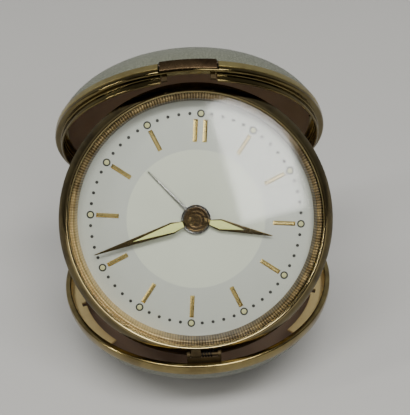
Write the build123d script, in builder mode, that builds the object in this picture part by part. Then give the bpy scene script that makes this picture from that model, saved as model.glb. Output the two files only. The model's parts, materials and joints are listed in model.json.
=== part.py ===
# Round folding travel alarm clock, shown standing open.
# Two domed shells hinge at the back. The clock head hinges at the front of the base shell and
# leans back until its upper edge stands in the mouth of the open lid.
# The origin is on the table under the middle of the base, X is to the right, Y to the back.
# Lengths are in millimetres and angles in degrees.
import os
from math import acos, atan2, cos, degrees, pi, radians, sin, sqrt

from build123d import *

os.makedirs("parts", exist_ok=True)

# Case shells, the same stamping for base and lid
shell_radius = 38.6
shell_depth = 20.0
cover_inset = 0.3
cover_wall = 0.5
rim_width = 1.6
rim_inner_radius = shell_radius - rim_width
rim_seat_share = 0.075
rim_seat_depth = shell_depth * rim_seat_share
rim_lip_share = 0.16
rim_lip_depth = shell_depth * rim_lip_share
rim_lip_wall = 0.36
rim_bead_round = 0.5
rim_edge_round = 0.35
lip_gap = 0.06
ledge_depth_share = 0.13
ledge_depth = shell_depth * ledge_depth_share
ledge_wall = 0.5
ledge_flange_gap = 0.04
ledge_width = 3.6
lid_ledge_width = 2.3
ledge_notch_width = 1.6
ledge_notch_reach = 1.3
base_notch_angle = 76.0
lid_notch_angle = 79.0
ledge_gap_angle = 45.0
lining_gap = 0.1
lining_wall = 0.5
foot_radius_share = 0.3627
foot_radius = shell_radius * foot_radius_share
foot_lift = 0.5
foot_gap = 0.05
seat_gap = 0.02

# How the parts stand
head_clearance = 1.0
head_radius = rim_inner_radius - head_clearance
lid_angle = 58.9
head_angle = 59.1
dial_turn = 5.8

# Neck of the lid: a polished ring that drops into the base and round the head when the lid is down
lid_neck_gap = 0.15
lid_neck_reach = 1.9
lid_neck_outer = rim_inner_radius - lid_neck_gap
lid_neck_clearance = 0.2
lid_neck_inner = head_radius + lid_neck_clearance
lid_neck_end = (lid_neck_outer - lid_neck_inner) / 2 - lid_neck_reach
lid_neck_gap_angle = 11.4

# Lid hinge at the back
lid_hinge_stand = 0.8
lid_hinge_reach = shell_radius + lid_hinge_stand
lid_pin_radius = 0.6
lid_knuckle_radius = 1.3
lid_hinge_length = 16.0
lid_knuckles = 5
lid_hinge_gap = 0.3
lid_knuckle_gap = 0.2
leaf_wall = 0.55
leaf_seat_gap = 0.02
running_gap = 0.05
dome_steps = 16

# Head hinge at the front
head_hinge_inset = 0.7
head_hinge_reach = head_radius - head_hinge_inset
head_hinge_height = 1.2
head_hinge_forward = 2.3
head_pin_radius = 0.5
head_eye_radius = 0.95
head_eye_width = 0.8
head_hinge_half = 4.5
head_groove_radius = 1.25
head_groove_half = 4.9
knuckle_width = 2.6
knuckle_offset = 2.1
bracket_gap = 0.3
bracket_front = rim_inner_radius - bracket_gap
bracket_wall = 0.4
bracket_drop = 2.4
spring_wire = 0.3
spring_pitch = 0.75
spring_turns = 4
spring_gap = 0.1
coil_samples = 320

# Push-button catch in the lid's rim
catch_half_angle = 11.2
catch_window_angle = 11.7
catch_stand = 0.35
catch_wall = 1.05
catch_outer_radius = shell_radius + catch_stand
catch_inner_radius = catch_outer_radius - catch_wall
catch_near = 0.5
catch_far = 3.35
catch_window_near = 0.4
catch_window_far = 3.6
catch_travel = 0.5
hook_inset = 0.45
hook_inner_radius = rim_inner_radius - hook_inset
hook_wall = 0.35
hook_angle = 9.7
hook_half_angle = 1.1
hook_stem_far = 1.4
hook_reach = 1.5
hook_free = 0.1
hook_nose = catch_travel - hook_free
hook_nose_height = 0.5
keeper_near = 0.7
keeper_far = 1.5
keeper_depth = 0.55
catch_spring_wall = 0.2
catch_spring_near = 1.7
catch_spring_far = 2.9
catch_spring_gap = 0.4
catch_spring_radius = rim_inner_radius + catch_spring_gap

# Clock head, levels along its axis from its widest circle, plus towards the glass
bezel_back = -1.2
bezel_side = 0.2
bezel_slope = 2.1
bezel_crest_radius = head_radius - bezel_slope
bezel_crest = 2.4
bezel_crest_round = 0.35
bezel_lip = 0.65
bezel_mouth_radius = bezel_crest_radius - bezel_lip
bezel_edge = 0.4
drum_step = 0.45
drum_radius = bezel_mouth_radius - drum_step
drum_wall = 0.6
drum_top = 0.2
drum_shoulder = -6.8
drum_back = -11.2
drum_cone = 6.0
drum_back_radius = drum_radius - drum_cone
drum_lip = 1.8
drum_opening_radius = drum_back_radius - drum_lip
fit_gap = 0.05
ring_flange = 0.4
ring_depth = 0.8
ring_tip_radius = drum_radius - drum_wall - ring_depth
ring_lean = 0.25
ring_wall = 0.3
glass_wall = 0.9
glass_edge = 1.45
glass_rise = 3.3
dial_level = -3.0
dial_wall = 0.4
dial_hole_radius = 2.15
hour_marks = 12
lume_ring_inset = 3.4
lume_ring_radius = ring_tip_radius - lume_ring_inset
baton_length_share = 0.212
baton_length = lume_ring_radius * baton_length_share
baton_inset = 1.55
baton_outer_radius = lume_ring_radius - baton_inset
baton_inner_radius = baton_outer_radius - baton_length
baton_width = 1.15
baton_height = 0.4
baton_pair_spacing = 2.6
baton_taper = 40.0
lume_radius = 0.66
lume_height = 0.12

# Hands
hour_length_share = 0.743
minute_length_share = 1.018
alarm_length_share = 0.643
hour_length = lume_ring_radius * hour_length_share
minute_length = lume_ring_radius * minute_length_share
alarm_length = lume_ring_radius * alarm_length_share
hour_angle = 99.5
minute_angle = 248.3
alarm_angle = 312.5
hand_wall = 0.2
hand_half_width = 1.55
hand_neck_half = 0.75
hand_tip_half = 0.14
hand_frame = 0.42
hand_neck_radius = 3.6
hand_widest_radius = 6.4
alarm_half_width = 0.45
alarm_hand_level = -2.55
hour_hand_level = -1.95
minute_hand_level = -1.3
alarm_boss_radius = 4.0
hour_boss_radius = 3.3
minute_boss_radius = 2.3
hub_cap_radius = 1.3
hub_cap_height = 0.5
hub_hole_radius = 0.45
hub_hole_depth = 0.3
lume_start_share = 0.22
lume_end_share = 0.62
lume_gap = 0.04
lume_wall = 0.14

# Movement plates and posts
front_plate_level = -5.9
back_plate_level = -10.5
plate_wall = 0.8
back_plate_gap = 0.5
back_plate_radius = drum_opening_radius - back_plate_gap
spacer_wall = 2.1
pillar_radius = 1.1
pillar_inset = 2.1
pillar_reach = back_plate_radius - pillar_inset
screw_radius = 0.5
screw_head_radius = 1.05
screw_head_height = 0.4
screw_slot_width = 0.3
screw_slot_depth = 0.2
screw_slot_angle = 25.0
screw_depth = 2.0
post_radius = 1.0
post_inset = 2.0
post_reach = back_plate_radius - post_inset
back_cover_wall = 0.6
back_cover_lap = 1.3
back_cover_radius = drum_opening_radius + back_cover_lap

# Tubes of the hands, one inside the other
centre_radius = 0.6
cannon_radius = 1.0
hour_tube_radius = 1.38
alarm_tube_radius = 1.78
tube_wall = 0.32

# Toothed wheels: counts are of teeth, modules are lengths
motion_module_share = 0.012245
motion_module = back_plate_radius * motion_module_share
cannon_teeth = 12
minute_wheel_teeth = 36
hour_pinion_teeth = 10
hour_wheel_teeth = 40
alarm_wheel_teeth = 48
alarm_setter_teeth = 16
barrel_module_share = 0.012245
barrel_module = back_plate_radius * barrel_module_share
barrel_teeth = 72
centre_pinion_teeth = 10
centre_module_share = 0.010204
centre_module = back_plate_radius * centre_module_share
centre_teeth = 64
third_pinion_teeth = 8
third_module_share = 0.00898
third_module = back_plate_radius * third_module_share
third_teeth = 60
fourth_pinion_teeth = 8
fourth_module_share = 0.008163
fourth_module = back_plate_radius * fourth_module_share
fourth_teeth = 60
escape_pinion_teeth = 8
escape_teeth = 16
escape_radius_share = 0.1796
escape_radius = back_plate_radius * escape_radius_share
escape_tooth = 1.3
escape_lean = 0.0
saw_tip_share = 0.1
saw_root_share = 0.35
saw_back_share = 0.9
alarm_barrel_module_share = 0.010204
alarm_barrel_module = back_plate_radius * alarm_barrel_module_share
alarm_barrel_teeth = 48
alarm_escape_pinion_teeth = 8
alarm_escape_teeth = 12
alarm_escape_radius_share = 0.12245
alarm_escape_radius = back_plate_radius * alarm_escape_radius_share
alarm_escape_tooth = 0.9
tooth_root_share = 0.19
tooth_tip_share = 0.07
addendum_share = 0.85
dedendum_share = 1.2
spoke_count = 4
spoke_width = 1.1
wheel_rim = 1.1
hub_radius = 1.5

# Levels of the wheels, lower face first
alarm_wheel_span = (-3.9, -3.6)
hour_wheel_span = (-4.4, -4.1)
minute_wheel_span = (-4.85, -4.6)
centre_wheel_span = (-6.4, -6.1)
centre_pinion_span = (-7.6, -6.4)
third_wheel_span = (-7.0, -6.7)
third_pinion_span = (-6.55, -6.0)
fourth_wheel_span = (-7.7, -7.4)
fourth_pinion_span = (-7.15, -6.55)
escape_wheel_span = (-8.6, -8.3)
escape_pinion_span = (-7.85, -7.25)
barrel_span = (-9.5, -7.6)
barrel_flange_span = (-7.6, -7.3)
alarm_barrel_span = (-9.5, -7.9)
alarm_flange_span = (-7.9, -7.6)
alarm_escape_span = (-6.75, -6.45)
alarm_escape_pinion_span = (-8.05, -7.45)
pallet_span = (-9.05, -8.75)
pallet_pin_top = -8.15
balance_span = (-7.2, -6.6)
roller_span = (-8.6, -7.9)
hairspring_span = (-9.45, -9.15)
hammer_span = (-8.2, -7.4)
hammer_pallet_span = (-6.9, -6.3)

# Arbors, barrels, springs and levers
arbor_radius = 0.5
key_arbor_radius = 1.2
barrel_wall = 0.45
barrel_floor = 0.2
barrel_drum_inset = 0.55
spiral_steps = 24
mainspring_wall = 0.3
mainspring_turns = 8
mainspring_gap = 0.25
hairspring_wall = 0.12
hairspring_turns = 5
hairspring_inner = 0.75
hairspring_outer_share = 0.13469
hairspring_outer = back_plate_radius * hairspring_outer_share
balance_radius_share = 0.2449
balance_radius = back_plate_radius * balance_radius_share
balance_rim = 1.0
balance_spoke = 0.9
roller_radius = 1.5
impulse_pin_radius = 0.22
impulse_pin_reach = 1.15
pallet_pin_radius = 0.22
pallet_pin_gap = 0.35
pallet_pin_spread = 32.0
hammer_pin_spread = 34.0
pallet_reach_share = 0.25306
pallet_reach = back_plate_radius * pallet_reach_share
pallet_arm_width = 0.8
fork_gap = 0.35
hammer_arm_width = 1.2
hammer_head_radius = 1.6
hammer_length_share = 0.57143
hammer_length = back_plate_radius * hammer_length_share
star_reach_share = 0.21633
star_reach = back_plate_radius * star_reach_share
regulator_radius = 1.6
regulator_width = 0.9
regulator_swing = 20.0
regulator_length_share = 0.2449
regulator_length = back_plate_radius * regulator_length_share
regulator_pin_length = 1.4
stop_lever_width = 1.8
stop_lever_length_share = 0.2449
stop_lever_length = back_plate_radius * stop_lever_length_share
stop_lever_wall = 0.5
stop_pin_radius = 0.7

# Where the arbors stand: directions seen from the front, anticlockwise from the dial's 3
barrel_direction = 250.0
third_direction = 35.0
fourth_direction = 100.0
escape_direction = 170.0
pallet_direction = 190.0
balance_direction = 214.0
balance_reach_share = 0.28571
balance_reach = back_plate_radius * balance_reach_share
minute_wheel_direction = -20.0
alarm_setter_direction = 178.0
alarm_barrel_direction = -33.7
alarm_barrel_reach_share = 0.66122
alarm_barrel_reach = back_plate_radius * alarm_barrel_reach_share
alarm_escape_direction = 75.0
hammer_direction = 39.0
hammer_arm_direction = 105.0
pillar_directions = (100.0, 190.0, 300.0, 20.0)
post_directions = (62.0, 166.0, 282.0)
stop_lever_direction = 222.0
stop_lever_reach_share = 0.83673
stop_lever_reach = back_plate_radius * stop_lever_reach_share

# Keys and knobs at the back
key_hub_radius = 2.0
key_hub_height = 0.9
key_wing_height = 1.2
key_wing_wall = 1.5
key_wing_angle = 40.0
main_key_length_share = 0.449
main_key_length = back_plate_radius * main_key_length_share
alarm_key_length_share = 0.36735
alarm_key_length = back_plate_radius * alarm_key_length_share
knob_level = -12.1
knob_height = 1.7
time_knob_radius = 3.1
alarm_knob_radius = 2.6
knob_flutes = 18
knob_flute_radius = 0.22
cover_hole_gap = 0.3


# Frames of the three bodies
rim_height = foot_lift + shell_depth
cover_radius = shell_radius - cover_inset
lid_way = Vector(0, -cos(radians(lid_angle)), sin(radians(lid_angle)))
lid_out = Vector(0, sin(radians(lid_angle)), cos(radians(lid_angle)))
lid_centre = Vector(0, lid_hinge_reach, rim_height) + lid_way * lid_hinge_reach
head_way = Vector(0, cos(radians(head_angle)), sin(radians(head_angle)))
head_out = Vector(0, -sin(radians(head_angle)), cos(radians(head_angle)))
head_pin = Vector(0, -head_hinge_reach, rim_height + head_hinge_height)
head_centre = head_pin + head_way * head_hinge_reach - head_out * head_hinge_forward
base_face = Plane(origin=(0, 0, rim_height), x_dir=(1, 0, 0), z_dir=(0, 0, -1))
lid_face = Plane(origin=lid_centre, x_dir=(-1, 0, 0), z_dir=lid_out)
head_face = Plane(origin=head_centre, x_dir=(1, 0, 0), z_dir=head_out)
clock_right = Vector(1, 0, 0) * cos(radians(dial_turn)) - head_way * sin(radians(dial_turn))
clock_face = Plane(origin=head_centre, x_dir=clock_right, z_dir=head_out)
front_side = 90.0
back_side = 270.0
full_turn = 360.0


def turned(face, angle):
    """The plane through a face's axis, with radius along its X and height off the face along its Y."""
    way = face.x_dir * cos(radians(angle)) + face.y_dir * sin(radians(angle))
    return Plane(origin=face.origin, x_dir=way, z_dir=way.cross(face.z_dir))


def side_of(face, across):
    """A plane across the face at this X, with the face's Y along its X and its height along its Y."""
    return Plane(origin=face.origin + face.x_dir * across, x_dir=face.y_dir, z_dir=face.x_dir)


def axis_of(face):
    return Axis(face.origin, face.z_dir)


def around(centre, direction, reach):
    return (centre[0] + reach * cos(radians(direction)), centre[1] + reach * sin(radians(direction)))


def apart(start, end):
    return sqrt((end[0] - start[0]) ** 2 + (end[1] - start[1]) ** 2)


def halfway(start, end):
    """The place midway between two points, turned along the line from one to the other."""
    way = degrees(atan2(end[1] - start[1], end[0] - start[0]))
    return Location(((start[0] + end[0]) / 2, (start[1] + end[1]) / 2, 0), (0, 0, way))


def ellipse_radius(across, deep, depth):
    return across * sqrt(1 - (depth / deep) ** 2)


def dome_points(across, deep, start_radius):
    """Points on an elliptic dome from this radius in to its pole."""
    start = acos(start_radius / across)
    angles = [start + (pi / 2 - start) * n / dome_steps for n in range(dome_steps)]
    return [(across * cos(angle), deep * sin(angle)) for angle in angles] + [(0, deep)]


def dome_shell(face, across, deep, wall, start_depth):
    """A domed shell of even wall, turned about the face's axis, open at its start depth."""
    outer = dome_points(across, deep, ellipse_radius(across, deep, start_depth))
    inner = dome_points(
        across - wall, deep - wall, ellipse_radius(across - wall, deep - wall, start_depth)
    )
    with BuildPart() as piece:
        with BuildSketch(turned(face, 0)):
            with BuildLine():
                Spline(*outer)
                Line(outer[-1], inner[-1])
                Spline(*inner)
                Line(inner[0], outer[0])
            make_face()
        revolve(axis=axis_of(face))
    return piece.part


def ring_sector(face, middle, half_angle, inner, outer, near, far):
    """A piece of a turned ring, half_angle each side of the middle direction."""
    with BuildPart() as piece:
        with BuildSketch(turned(face, middle - half_angle)):
            with Locations(((inner + outer) / 2, (near + far) / 2)):
                Rectangle(outer - inner, far - near)
        revolve(axis=axis_of(face), revolution_arc=2 * half_angle)
    return piece.part


def cross_rod(face, along, height, radius, start, end):
    """A round rod parallel to the face's X."""
    with BuildPart() as piece:
        with BuildSketch(side_of(face, start)):
            with Locations((along, height)):
                Circle(radius)
        extrude(amount=end - start)
    return piece.part


def disc(place, radius, span, plane=clock_face):
    with BuildPart() as piece:
        with BuildSketch(plane.offset(span[0])):
            with Locations(place):
                Circle(radius)
        extrude(amount=span[1] - span[0])
    return piece.part


def keep(piece, name):
    piece.part.label = name
    export_step(piece.part, f"parts/{name}.step")


# Outer covers: painted domed shells with the grain of leather
catch_window = ring_sector(
    lid_face, front_side, catch_window_angle, rim_inner_radius - rim_lip_wall, catch_outer_radius,
    catch_window_near, catch_window_far,
)
neck_gap = ring_sector(
    lid_face, front_side, lid_neck_gap_angle, lid_neck_inner - lid_neck_gap, rim_inner_radius,
    -lid_neck_reach - lid_neck_gap, hook_stem_far + lid_neck_gap,
)
for body, face in (("base", base_face), ("lid", lid_face)):
    half_hinge = lid_hinge_length / 2 + lid_hinge_gap
    hinge_notch = cross_rod(
        face, -lid_hinge_reach, 0, lid_knuckle_radius + lid_hinge_gap, -half_hinge, half_hinge
    )
    cover_shell = dome_shell(face, cover_radius, shell_depth, cover_wall, rim_seat_depth)
    with BuildPart() as cover:
        add(cover_shell)
        add(hinge_notch, mode=Mode.SUBTRACT)
        if body == "lid":
            add(catch_window, mode=Mode.SUBTRACT)
    keep(cover, body + "_cover")

# Rims: rolled brass bands that hold the edges of the covers, the lid's with its neck
    lip_radius = ellipse_radius(cover_radius, shell_depth, rim_lip_depth) + lip_gap
    seat_radius = ellipse_radius(cover_radius, shell_depth, rim_seat_depth) + lip_gap
    wall_radius = rim_inner_radius if body == "base" else lid_neck_inner
    with BuildPart() as rim:
        with BuildSketch(turned(face, 0)):
            with BuildLine():
                Line((wall_radius, rim_seat_depth), (seat_radius, rim_seat_depth))
                Line((seat_radius, rim_seat_depth), (lip_radius, rim_lip_depth))
                Line((lip_radius, rim_lip_depth), (lip_radius + rim_lip_wall, rim_lip_depth))
                Line((lip_radius + rim_lip_wall, rim_lip_depth), (shell_radius, rim_seat_depth))
                Line((shell_radius, rim_seat_depth), (shell_radius, rim_bead_round))
                RadiusArc((shell_radius, rim_bead_round), (shell_radius - rim_bead_round, 0), rim_bead_round)
                if body == "base":
                    Line((shell_radius - rim_bead_round, 0), (wall_radius + rim_edge_round, 0))
                    RadiusArc(
                        (wall_radius + rim_edge_round, 0), (wall_radius, rim_edge_round), rim_edge_round
                    )
                    Line((wall_radius, rim_edge_round), (wall_radius, rim_seat_depth))
                else:
                    Line((shell_radius - rim_bead_round, 0), (lid_neck_outer, 0))
                    Line((lid_neck_outer, 0), (lid_neck_outer, lid_neck_end))
                    ThreePointArc(
                        (lid_neck_outer, lid_neck_end),
                        ((lid_neck_outer + wall_radius) / 2, -lid_neck_reach),
                        (wall_radius, lid_neck_end),
                    )
                    Line((wall_radius, lid_neck_end), (wall_radius, rim_seat_depth))
            make_face()
        revolve(axis=axis_of(face))
        add(hinge_notch, mode=Mode.SUBTRACT)
        if body == "lid":
            add(catch_window, mode=Mode.SUBTRACT)
            add(neck_gap, mode=Mode.SUBTRACT)
        else:
            for side in (-hook_angle, hook_angle):
                keeper = ring_sector(
                    face, front_side + side, hook_half_angle * 2, rim_inner_radius - lip_gap,
                    rim_inner_radius + keeper_depth, keeper_near, keeper_far + lip_gap,
                )
                add(keeper, mode=Mode.SUBTRACT)
    keep(rim, body + "_rim")

# Ledges: stamped brass shelves inside the rims, with small notches in their inner edge
    notch_angle = base_notch_angle if body == "base" else lid_notch_angle
    ledge_inner_radius = rim_inner_radius - (ledge_width if body == "base" else lid_ledge_width)
    notch_half = degrees(ledge_notch_width / 2 / ledge_inner_radius)
    cuts = [
        ring_sector(
            face, front_side + side, notch_half, ledge_inner_radius - ledge_wall,
            ledge_inner_radius + ledge_notch_reach, ledge_depth - ledge_wall, ledge_depth + 2 * ledge_wall,
        )
        for side in (-notch_angle, notch_angle)
    ]
    flange_radius = ellipse_radius(
        cover_radius - cover_wall, shell_depth - cover_wall, ledge_depth + ledge_wall
    ) - ledge_flange_gap
    if body == "base":
        cuts.append(
            ring_sector(
                face, front_side, ledge_gap_angle, ledge_inner_radius - ledge_wall, rim_inner_radius,
                ledge_depth - ledge_wall, ledge_depth + 2 * ledge_wall,
            )
        )
    with BuildPart() as ledge:
        with BuildSketch(turned(face, 0)):
            with BuildLine():
                Polyline(
                    (wall_radius, rim_seat_depth),
                    (flange_radius, rim_seat_depth),
                    (flange_radius, ledge_depth + ledge_wall),
                    (ledge_inner_radius, ledge_depth + ledge_wall),
                    (ledge_inner_radius, ledge_depth),
                    (wall_radius, ledge_depth),
                    close=True,
                )
            make_face()
        revolve(axis=axis_of(face))
        for cut in cuts:
            add(cut, mode=Mode.SUBTRACT)
        if body == "lid":
            add(catch_window, mode=Mode.SUBTRACT)
            add(neck_gap, mode=Mode.SUBTRACT)
    keep(ledge, body + "_ledge")

# Linings: plum-brown moulded bowls that sit behind the ledges
    lining_radius = cover_radius - cover_wall - lining_gap
    lining_depth = shell_depth - cover_wall - lining_gap
    lining_shell = dome_shell(face, lining_radius, lining_depth, lining_wall, ledge_depth + ledge_wall)
    with BuildPart() as lining:
        add(lining_shell)
        if body == "lid":
            add(catch_window, mode=Mode.SUBTRACT)
    keep(lining, body + "_lining")

# Foot: a flat pad glued under the base dome
foot_top = dome_points(cover_radius + foot_gap, shell_depth + foot_gap, foot_radius)
with BuildPart() as base_foot:
    with BuildSketch(turned(base_face, 0)):
        with BuildLine():
            Spline(*foot_top)
            Line(foot_top[-1], (0, rim_height))
            Line((0, rim_height), (foot_radius, rim_height))
            Line((foot_radius, rim_height), foot_top[0])
        make_face()
    revolve(axis=axis_of(base_face))
keep(base_foot, "base_foot")

# Lid hinge: two leaves with interleaved knuckles on one pin
knuckle_length = lid_hinge_length / lid_knuckles
leaf_angle = degrees(lid_hinge_length / 2 / shell_radius)
for body, face, first in (("base", base_face, 0), ("lid", lid_face, 1)):
    leaf_plate = ring_sector(
        face, back_side, leaf_angle, shell_radius + leaf_seat_gap, shell_radius + leaf_seat_gap + leaf_wall,
        lid_knuckle_gap, rim_lip_depth,
    )
    pin_bore = cross_rod(
        face, -lid_hinge_reach, 0, lid_pin_radius + running_gap, -lid_hinge_length, lid_hinge_length
    )
    knuckles = []
    reliefs = []
    for n in range(lid_knuckles):
        start = -lid_hinge_length / 2 + n * knuckle_length
        if n % 2 == first:
            near = start + lid_knuckle_gap / 2
            far = start + knuckle_length - lid_knuckle_gap / 2
            knuckles.append(cross_rod(face, -lid_hinge_reach, 0, lid_knuckle_radius, near, far))
        else:
            near = start - lid_knuckle_gap / 2
            far = start + knuckle_length + lid_knuckle_gap / 2
            reliefs.append(
                cross_rod(face, -lid_hinge_reach, 0, lid_knuckle_radius + lid_hinge_gap, near, far)
            )
    with BuildPart() as leaf:
        add(leaf_plate)
        for relief in reliefs:
            add(relief, mode=Mode.SUBTRACT)
        for knuckle in knuckles:
            add(knuckle)
        add(pin_bore, mode=Mode.SUBTRACT)
    keep(leaf, body + "_hinge_leaf")

lid_pin_length = lid_hinge_length - lid_knuckle_gap
with BuildPart() as lid_hinge_pin:
    add(cross_rod(base_face, -lid_hinge_reach, 0, lid_pin_radius, -lid_pin_length / 2, lid_pin_length / 2))
keep(lid_hinge_pin, "lid_hinge_pin")

# Head hinge bracket: a strip soldered inside the rim with an eye at each end
eye_height = -head_hinge_height
with BuildPart() as head_hinge_bracket:
    with BuildSketch(side_of(base_face, -head_hinge_half)):
        with Locations((bracket_front - bracket_wall, eye_height)):
            Rectangle(
                bracket_wall, bracket_drop + head_hinge_height, align=(Align.MIN, Align.MIN)
            )
    extrude(amount=2 * head_hinge_half)
    for start in (-head_hinge_half, head_hinge_half - head_eye_width):
        with BuildSketch(side_of(base_face, start)):
            with Locations((head_hinge_reach, eye_height)):
                Circle(head_eye_radius)
            with Locations((head_hinge_reach, eye_height)):
                Rectangle(
                    bracket_front - head_hinge_reach, head_eye_radius, align=(Align.MIN, Align.MIN)
                )
        extrude(amount=head_eye_width)
    add(
        cross_rod(
            base_face, head_hinge_reach, eye_height, head_pin_radius + seat_gap,
            -head_hinge_half, head_hinge_half,
        ),
        mode=Mode.SUBTRACT,
    )
keep(head_hinge_bracket, "head_hinge_bracket")

with BuildPart() as head_hinge_pin:
    add(
        cross_rod(
            base_face, head_hinge_reach, eye_height, head_pin_radius, -head_hinge_half, head_hinge_half
        )
    )
keep(head_hinge_pin, "head_hinge_pin")

# Head hinge spring: a torsion coil on the pin that swings the clock head up
coil_radius = head_pin_radius + spring_gap + spring_wire / 2
coil_length = spring_turns * spring_pitch
coil_start = knuckle_width - knuckle_offset - (knuckle_width / 2 - spring_wire)
coil_centre = head_pin + Vector(coil_start, 0, 0)
with BuildPart() as head_hinge_spring:
    with BuildLine() as coil_path:
        Helix(
            pitch=spring_pitch, height=coil_length, radius=coil_radius,
            center=coil_centre, direction=(1, 0, 0),
        )
    with BuildSketch(Plane(origin=coil_path.line @ 0, z_dir=coil_path.line % 0)):
        Circle(spring_wire / 2)
    sweep(path=coil_path.line, is_frenet=True)
keep(head_hinge_spring, "head_hinge_spring")
coil_points = [coil_path.line @ (n / coil_samples) for n in range(coil_samples + 1)]
half_turn_samples = coil_samples // (2 * spring_turns)
nearest = min(
    (coil_points[first] - coil_points[second]).length
    for first in range(coil_samples + 1)
    for second in range(first + half_turn_samples, coil_samples + 1)
)
print("head hinge spring, least gap to itself in mm:", round(nearest - spring_wire, 3))

# Catch: a curved push bar with two hooked legs that drop past the rim
with BuildPart() as catch_button:
    add(
        ring_sector(
            lid_face, front_side, catch_half_angle, catch_inner_radius, catch_outer_radius,
            catch_near, catch_far,
        )
    )
    for side in (-hook_angle, hook_angle):
        add(
            ring_sector(
                lid_face, front_side + side, hook_half_angle,
                hook_inner_radius, catch_outer_radius - hook_wall, catch_near, hook_stem_far,
            )
        )
        add(
            ring_sector(
                lid_face, front_side + side, hook_half_angle,
                hook_inner_radius, hook_inner_radius + hook_wall, -hook_reach, hook_stem_far,
            )
        )
        add(
            ring_sector(
                lid_face, front_side + side, hook_half_angle, hook_inner_radius,
                hook_inner_radius + hook_wall + hook_nose, -hook_reach, -hook_reach + hook_nose_height,
            )
        )
keep(catch_button, "catch_button")

with BuildPart() as catch_spring:
    add(
        ring_sector(
            lid_face, front_side, catch_half_angle - hook_half_angle / 2, catch_spring_radius,
            catch_spring_radius + catch_spring_wall, catch_spring_near, catch_spring_far,
        )
    )
keep(catch_spring, "catch_spring")

# Bezel: a turned and polished brass ring pressed over the drum
hinge_groove = cross_rod(
    head_face, -head_hinge_reach, head_hinge_forward, head_groove_radius, -head_groove_half,
    -knuckle_offset - knuckle_width / 2 - fit_gap,
) + cross_rod(
    head_face, -head_hinge_reach, head_hinge_forward, head_groove_radius,
    -knuckle_offset + knuckle_width / 2 + fit_gap, head_groove_half,
)
crest_inner = bezel_crest_radius - bezel_crest_round
with BuildPart() as bezel:
    with BuildSketch(turned(head_face, 0)):
        with BuildLine():
            Polyline(
                (bezel_mouth_radius, bezel_crest - 2 * bezel_crest_round),
                (bezel_mouth_radius, drum_top),
                (drum_radius + fit_gap, drum_top),
                (drum_radius + fit_gap, bezel_back),
                (head_radius - bezel_edge, bezel_back),
                (head_radius, bezel_back + bezel_edge),
                (head_radius, bezel_side),
            )
            ThreePointArc(
                (head_radius, bezel_side),
                ((head_radius + bezel_crest_radius) / 2 + bezel_edge / 2, (bezel_side + bezel_crest) / 2),
                (bezel_crest_radius, bezel_crest),
            )
            ThreePointArc(
                (bezel_crest_radius, bezel_crest),
                (crest_inner, bezel_crest - bezel_crest_round / 4),
                (bezel_mouth_radius, bezel_crest - 2 * bezel_crest_round),
            )
        make_face()
    revolve(axis=axis_of(head_face))
    add(hinge_groove, mode=Mode.SUBTRACT)
keep(bezel, "bezel")

# Head knuckle: a short tube brazed to the foot of the bezel
knuckle_start = -knuckle_offset - knuckle_width / 2
with BuildPart() as head_knuckle:
    with BuildSketch(side_of(head_face, knuckle_start)):
        with Locations((-head_hinge_reach, head_hinge_forward)):
            Circle(head_eye_radius)
            Rectangle(
                head_eye_radius + bezel_edge, head_eye_radius * 2, align=(Align.MIN, Align.CENTER)
            )
    extrude(amount=knuckle_width)
    add(bezel.part, mode=Mode.SUBTRACT)
    add(
        cross_rod(
            head_face, -head_hinge_reach, head_hinge_forward, head_pin_radius + running_gap,
            -head_hinge_half, head_hinge_half,
        ),
        mode=Mode.SUBTRACT,
    )
keep(head_knuckle, "head_knuckle")

# Glass: a domed acrylic crystal with a straight edge
glass_radius = bezel_mouth_radius - fit_gap
ring_top = drum_top + fit_gap + ring_flange
glass_curve = (glass_radius ** 2 + glass_rise ** 2) / (2 * glass_rise)
with BuildPart() as crystal:
    with BuildSketch(turned(head_face, 0)):
        with Locations((0, glass_edge + glass_rise - glass_curve)):
            Circle(glass_curve)
            Circle(glass_curve - glass_wall, mode=Mode.SUBTRACT)
        with Locations((0, ring_top)):
            Rectangle(glass_radius, glass_radius, align=(Align.MIN, Align.MIN), mode=Mode.INTERSECT)
        with Locations((glass_radius - glass_wall, ring_top)):
            Rectangle(glass_wall, glass_edge - ring_top, align=(Align.MIN, Align.MIN))
    revolve(axis=axis_of(head_face))
keep(crystal, "crystal")

# Inner ring: the knurled brass slope between glass and dial
drum_inner = drum_radius - drum_wall
with BuildPart() as inner_ring:
    with BuildSketch(turned(head_face, 0)):
        with BuildLine():
            Polyline(
                (ring_tip_radius, dial_level),
                (drum_inner - fit_gap, dial_level),
                (drum_inner - fit_gap, drum_top + fit_gap),
                (glass_radius, drum_top + fit_gap),
                (glass_radius, ring_top),
                (glass_radius - glass_wall, ring_top),
                (drum_inner - fit_gap - ring_wall, drum_top + fit_gap),
                (ring_tip_radius, dial_level + ring_lean),
                close=True,
            )
        make_face()
    revolve(axis=axis_of(head_face))
keep(inner_ring, "inner_ring")

# Drum: the spun brass case of the clock with a coned back
shoulder_radius = drum_inner - drum_wall * 2
with BuildPart() as case_drum:
    with BuildSketch(turned(head_face, 0)):
        with BuildLine():
            Polyline(
                (drum_inner, drum_top),
                (drum_radius, drum_top),
                (drum_radius, drum_shoulder),
                (drum_back_radius, drum_back),
                (drum_opening_radius, drum_back),
                (drum_opening_radius, drum_back + drum_wall),
                (drum_back_radius - drum_wall, drum_back + drum_wall),
                (shoulder_radius, drum_shoulder),
                (shoulder_radius, front_plate_level),
                (drum_inner, front_plate_level),
                close=True,
            )
        make_face()
    revolve(axis=axis_of(head_face))
keep(case_drum, "case_drum")

# Dial with its centre hole
with BuildPart() as dial:
    with BuildSketch(clock_face.offset(dial_level - dial_wall)):
        Circle(drum_inner - fit_gap)
        Circle(dial_hole_radius, mode=Mode.SUBTRACT)
    extrude(amount=dial_wall)
keep(dial, "dial")

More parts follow.
